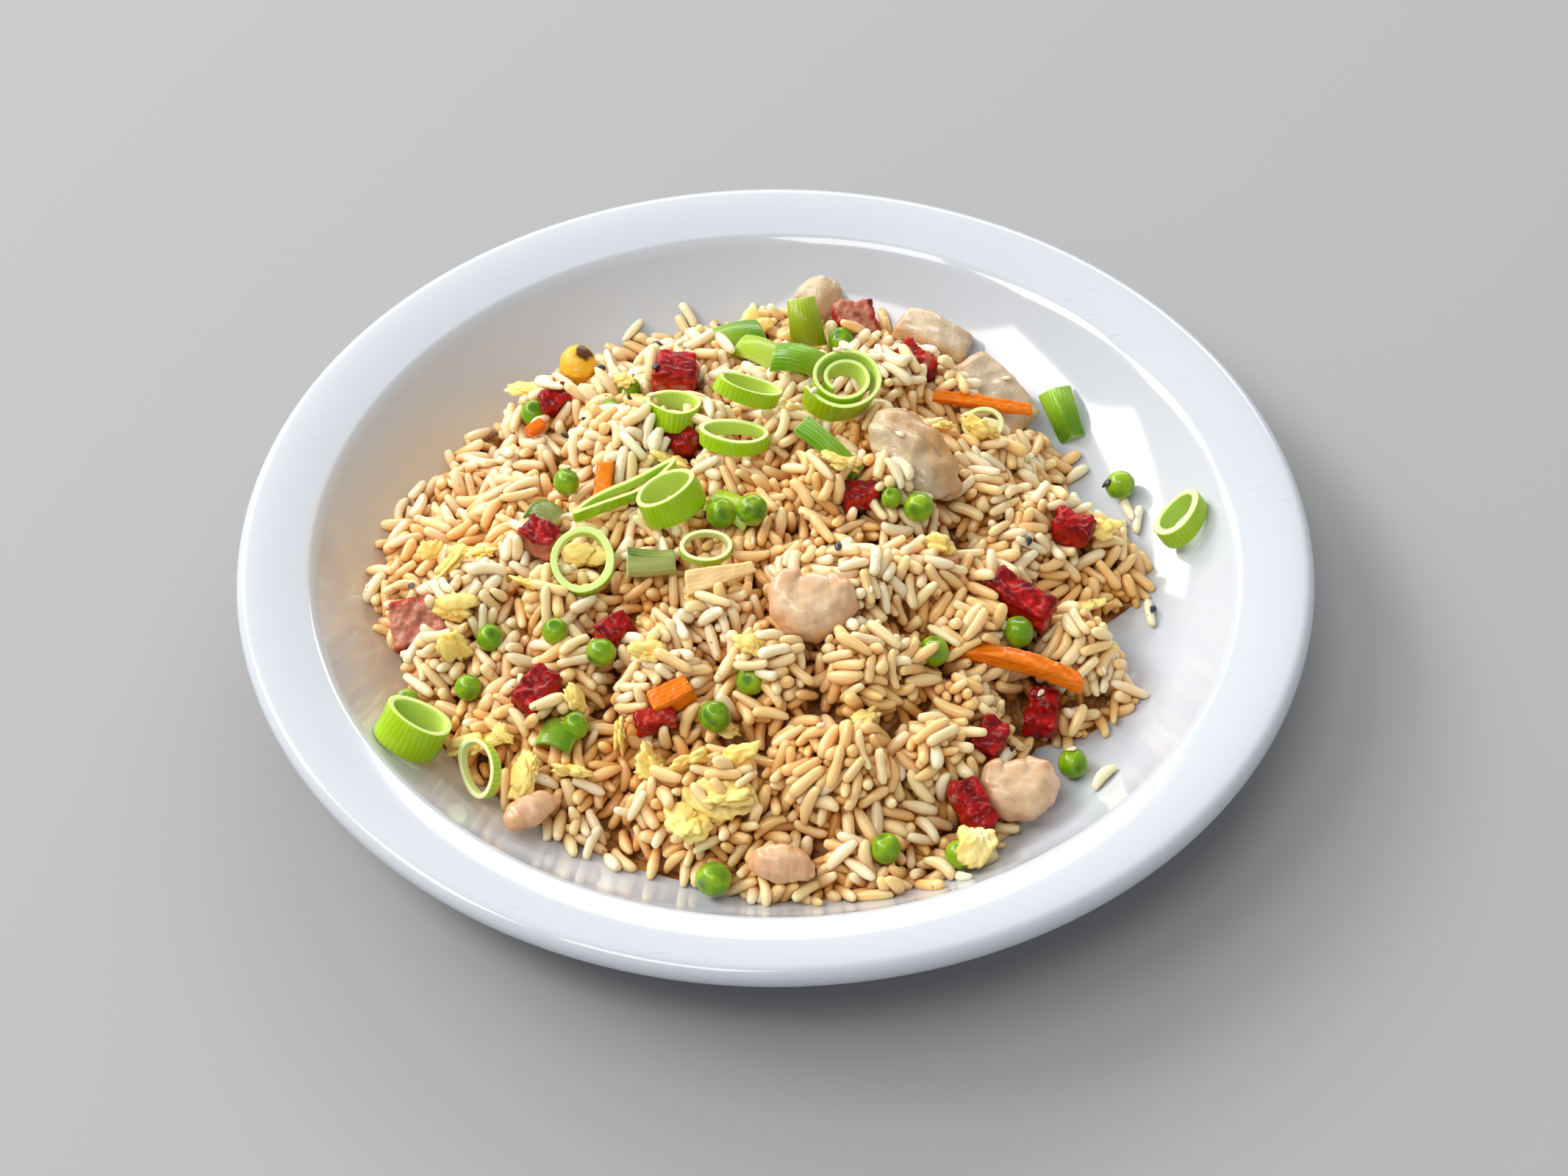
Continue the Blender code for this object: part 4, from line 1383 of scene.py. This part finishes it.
def ribbed(piece, local, ribs, depth, seed, leaf):
    """Works fine ribs up the walls of a ring or across a leaf: gives back its walls, rims and ribs."""
    places, normals = points_of(piece), normals_of(piece)
    flat = local.along[:, :2]
    radial = flat / (np.linalg.norm(flat, axis=1, keepdims=True) + 1e-9)
    facing = normals @ local.axes.T
    outside = np.clip((facing[:, :2] * radial).sum(1) * 1.5 + 0.5, 0, 1)
    rim = np.clip(np.abs(facing[:, 2]) * 2.4 - 1.3, 0, 1)
    if leaf:
        outside = np.clip(facing[:, 2] * 1.5 + 0.5, 0, 1)
        side = np.sign(local.axes[0][0]) * (-1) ** seed
        outside = outside * (0.35 + 0.65 * np.clip(0.5 + 0.9 * local.share[:, 0] * side, 0, 1))
        rim = np.clip(np.abs(facing[:, 0]) * 2.4 - 1.3, 0, 1)
        around = local.along[:, 1] / 0.00016
    else:
        around = np.arctan2(flat[:, 1], flat[:, 0]) * ribs
    rib = (np.sin(around + waves(places, 0.01, seed, 1)) * 0.5 + 0.5) * (0.25 + 0.75 * outside)
    move_points(piece, places - normals * (rib * depth * (1 - rim))[:, None])
    return outside, rim, rib * (1 - rim)


def slackened(piece, local, seed, leaf):
    """Lets a cut ring go a little out of round, and a leaf curl over its width and twist."""
    places = points_of(piece)
    if leaf:
        across, along = local.share[:, 1], local.share[:, 0]
        curl = 0.0020 * (0.5 - across**2) * local.half[1] / 0.005
        lift = curl + 0.0030 * (0.33 - along**2) + 0.0012 * across * along
        moved = places + lift[:, None] * local.axes[2]
    else:
        sway = np.stack([waves(places, 0.030, 200 + 3 * seed + i, 1) for i in range(3)], axis=1)
        moved = places + sway * [0.0011, 0.0011, 0.0005]
    move_points(piece, moved)


def refined(node, levels):
    """A thin-walled piece of the frame made smooth along its length, with its cut rims kept."""
    piece = copy_of(node)
    edit(piece, "EDGE")
    bpy.ops.mesh.edges_select_sharp(sharpness=math.radians(50))
    bpy.ops.transform.edge_crease(value=0.8)
    close_edit()
    apply(piece, "SUBSURF", levels=levels, render_levels=levels)
    return piece


# Pieces of spring onion that lie half under others: middle, turn, bend and length, in millimetres.
ONION_BITS = (
    ((-60.5, 8, 34), 60, 5.0, 7), ((-11, 80, 29), 20, 9.0, 15), ((-5, 72, 31), -30, 8.0, 12),
    ((-54, -61, 26), 70, 6.0, 9), ((-11, 2, 42), -35, 5.0, 13), ((84, 8, 14), 80, 5.0, 8),
)


def onion_strip(name, middle, turn, bend, length):
    """A curved strip cut from a spring onion's green leaf."""
    bpy.ops.mesh.primitive_plane_add(size=1)
    piece = added(name)
    edit(piece)
    bpy.ops.mesh.select_all(action="SELECT")
    bpy.ops.mesh.subdivide(number_cuts=23)
    bpy.ops.mesh.extrude_region_move(TRANSFORM_OT_translate={"value": (0, 0, 0.05)})
    close_edit()
    x, y, z = points_of(in_order(piece)).T
    radius = bend * MM
    angle = y * 9.5 / bend
    out = radius * np.cos(angle) + z * 0.012
    local = np.stack([x * length * MM, (radius + z * 0.012) * np.sin(angle), out - radius], axis=1)
    local[:, 2] -= (x * 2) ** 2 * 0.0012
    a = math.radians(turn)
    spin = np.array([[math.cos(a), math.sin(a), 0], [-math.sin(a), math.cos(a), 0], [0, 0, 1]])
    move_points(piece, local @ spin + np.array(middle) * MM)
    apply(piece, "SOLIDIFY", thickness=0.0002)
    return piece


def make_spring_onion():
    """Rings, a loop, a curl, a tube, a stub and leaves of spring onion, each in its own green."""
    lime = onion_material("onion_lime", (0.38, 0.60, 0.002), (0.54, 0.72, 0.12), (0.72, 0.84, 0.34))
    deep = onion_material("onion_deep", (0.13, 0.32, 0.005), (0.32, 0.50, 0.03), (0.55, 0.68, 0.20))
    olive = onion_material("onion_olive", (0.24, 0.31, 0.002), (0.36, 0.46, 0.015), (0.60, 0.68, 0.20))
    dark = onion_material("onion_dark", (0.09, 0.16, 0.003), (0.44, 0.50, 0.16), (0.62, 0.70, 0.34))
    pale = onion_material("onion_pale", (0.48, 0.66, 0.05), (0.68, 0.76, 0.30), (0.80, 0.85, 0.50))
    looks = {
        "onion_leaf_1": deep, "onion_leaf_2": olive, "onion_leaf_3": deep, "onion_leaf_4": deep,
        "onion_stub": dark, "onion_ring_6": pale, "onion_ring_7": pale, "onion_ring_9": pale,
    }
    pieces = []
    for seed, node in nodes_of("onion_"):
        leaf = "leaf" in node
        piece = refined(node, 4 if leaf else 3)
        slackened(piece, Local(piece), seed, leaf)
        ribs = (0.00030, 1, True) if node == "onion_stub" else (0.00016, seed, leaf)
        detail = ribbed(piece, Local(piece), 34, *ribs)
        pieces.append(dressed(piece, detail, looks.get(node, lime), "spring_onion", node))
    for number, bit in enumerate(ONION_BITS, 1):
        piece = onion_strip(f"onion_strip_{number}", *bit)
        detail = ribbed(piece, Local(piece), 30, 0.00012, number, True)
        kind = dark if number == 1 else (deep, lime)[number % 2]
        pieces.append(dressed(piece, detail, kind, "spring_onion"))
    return pieces


# Black sesame seeds, x and y in millimetres.
BLACK_SESAME = (
    (-15, 99), (-65, 74), (-43, 67), (-35, 73), (-35, 57), (-46, 58), (-41, 42.5), (-57, 44), (-54, 43),
    (-58, 39), (88, 33), (15, -14), (66, -2), (68, -11), (100, -7), (2, 71), (60, -60), (-95, -8),
)
# Swathes of white sesame: x, y, spread and count.
WHITE_SESAME = ((13, 37, 3, 1), (20, 70, 4, 1), (-38, 45, 6, 2), (-10, 52, 30, 8), (30, -10, 40, 8))
SEED_RINGS = ((-0.2, 0.2, 0.92), (0.2, 0.6, 0.75), (0.6, 0.95, 0.55))  # narrow at one end


def make_sesame(under):
    """Black and white sesame seeds lying on whatever is on top."""
    rng = np.random.default_rng(88)
    ground = tree_of([piece.data for piece in under] + [CAD["plate"].data])
    model = turned_form("seed", 12, 8, SEED_RINGS)
    shape = points_of(model)
    white = []
    for x, y, wide, count in WHITE_SESAME:
        white += [(x + rng.normal() * wide, y + rng.normal() * wide) for _ in range(count)]
    looks = (
        ("black_sesame", BLACK_SESAME, (0.006, 0.006, 0.010), (0.020, 0.018, 0.022), 0.00165),
        ("white_sesame", white, (0.75, 0.58, 0.36), (0.88, 0.76, 0.56), 0.00140),
    )
    for name, spots, dark, light, half in looks:
        places = []
        for x, y in spots:
            near = (rng.normal(size=(9, 2)) * 1.4 + [x, y]) * MM
            hits = [ground.ray_cast(Vector((*spot, 0.2)), Vector((0, 0, -1)))[:2] for spot in near]
            hit, normal = max(hits, key=lambda found: found[0].z)
            normal = np.array(normal) + UP * 0.8 + rng.normal(size=3) * 0.2
            normal /= np.linalg.norm(normal)
            along = np.cross(normal, rng.normal(size=3))
            along /= np.linalg.norm(along)
            axes = np.stack([along * half, np.cross(normal, along) * half * 0.62, normal * half * 0.34])
            places.append(shape @ axes + np.array(hit) + normal * half * 0.3)
        piece = joined(name, model.data, np.array(places))
        shader = Shader(name, Coat_Weight=0.4, Coat_Roughness=0.2)
        cloud = shader.noise(900, detail=3)
        colour = shader.mix(cloud.step(0.3, 0.7), dark, light)
        finished(piece, shader.done(colour, cloud * 0.3 + 0.3, cloud, 0.0001, 0.5), "rice")
    bpy.data.objects.remove(model)


# ---------------------------------------------------------------- the whole

make_floor()
make_lights()
make_camera()
make_plate()
food = make_peas() + make_pork() + make_prawns() + make_chicken() + make_sticks() + make_spring_onion()
eggs, crumbs = make_eggs()
food += eggs
rice = make_rice(food, [crumbs])
make_sesame(rice + food + [crumbs])
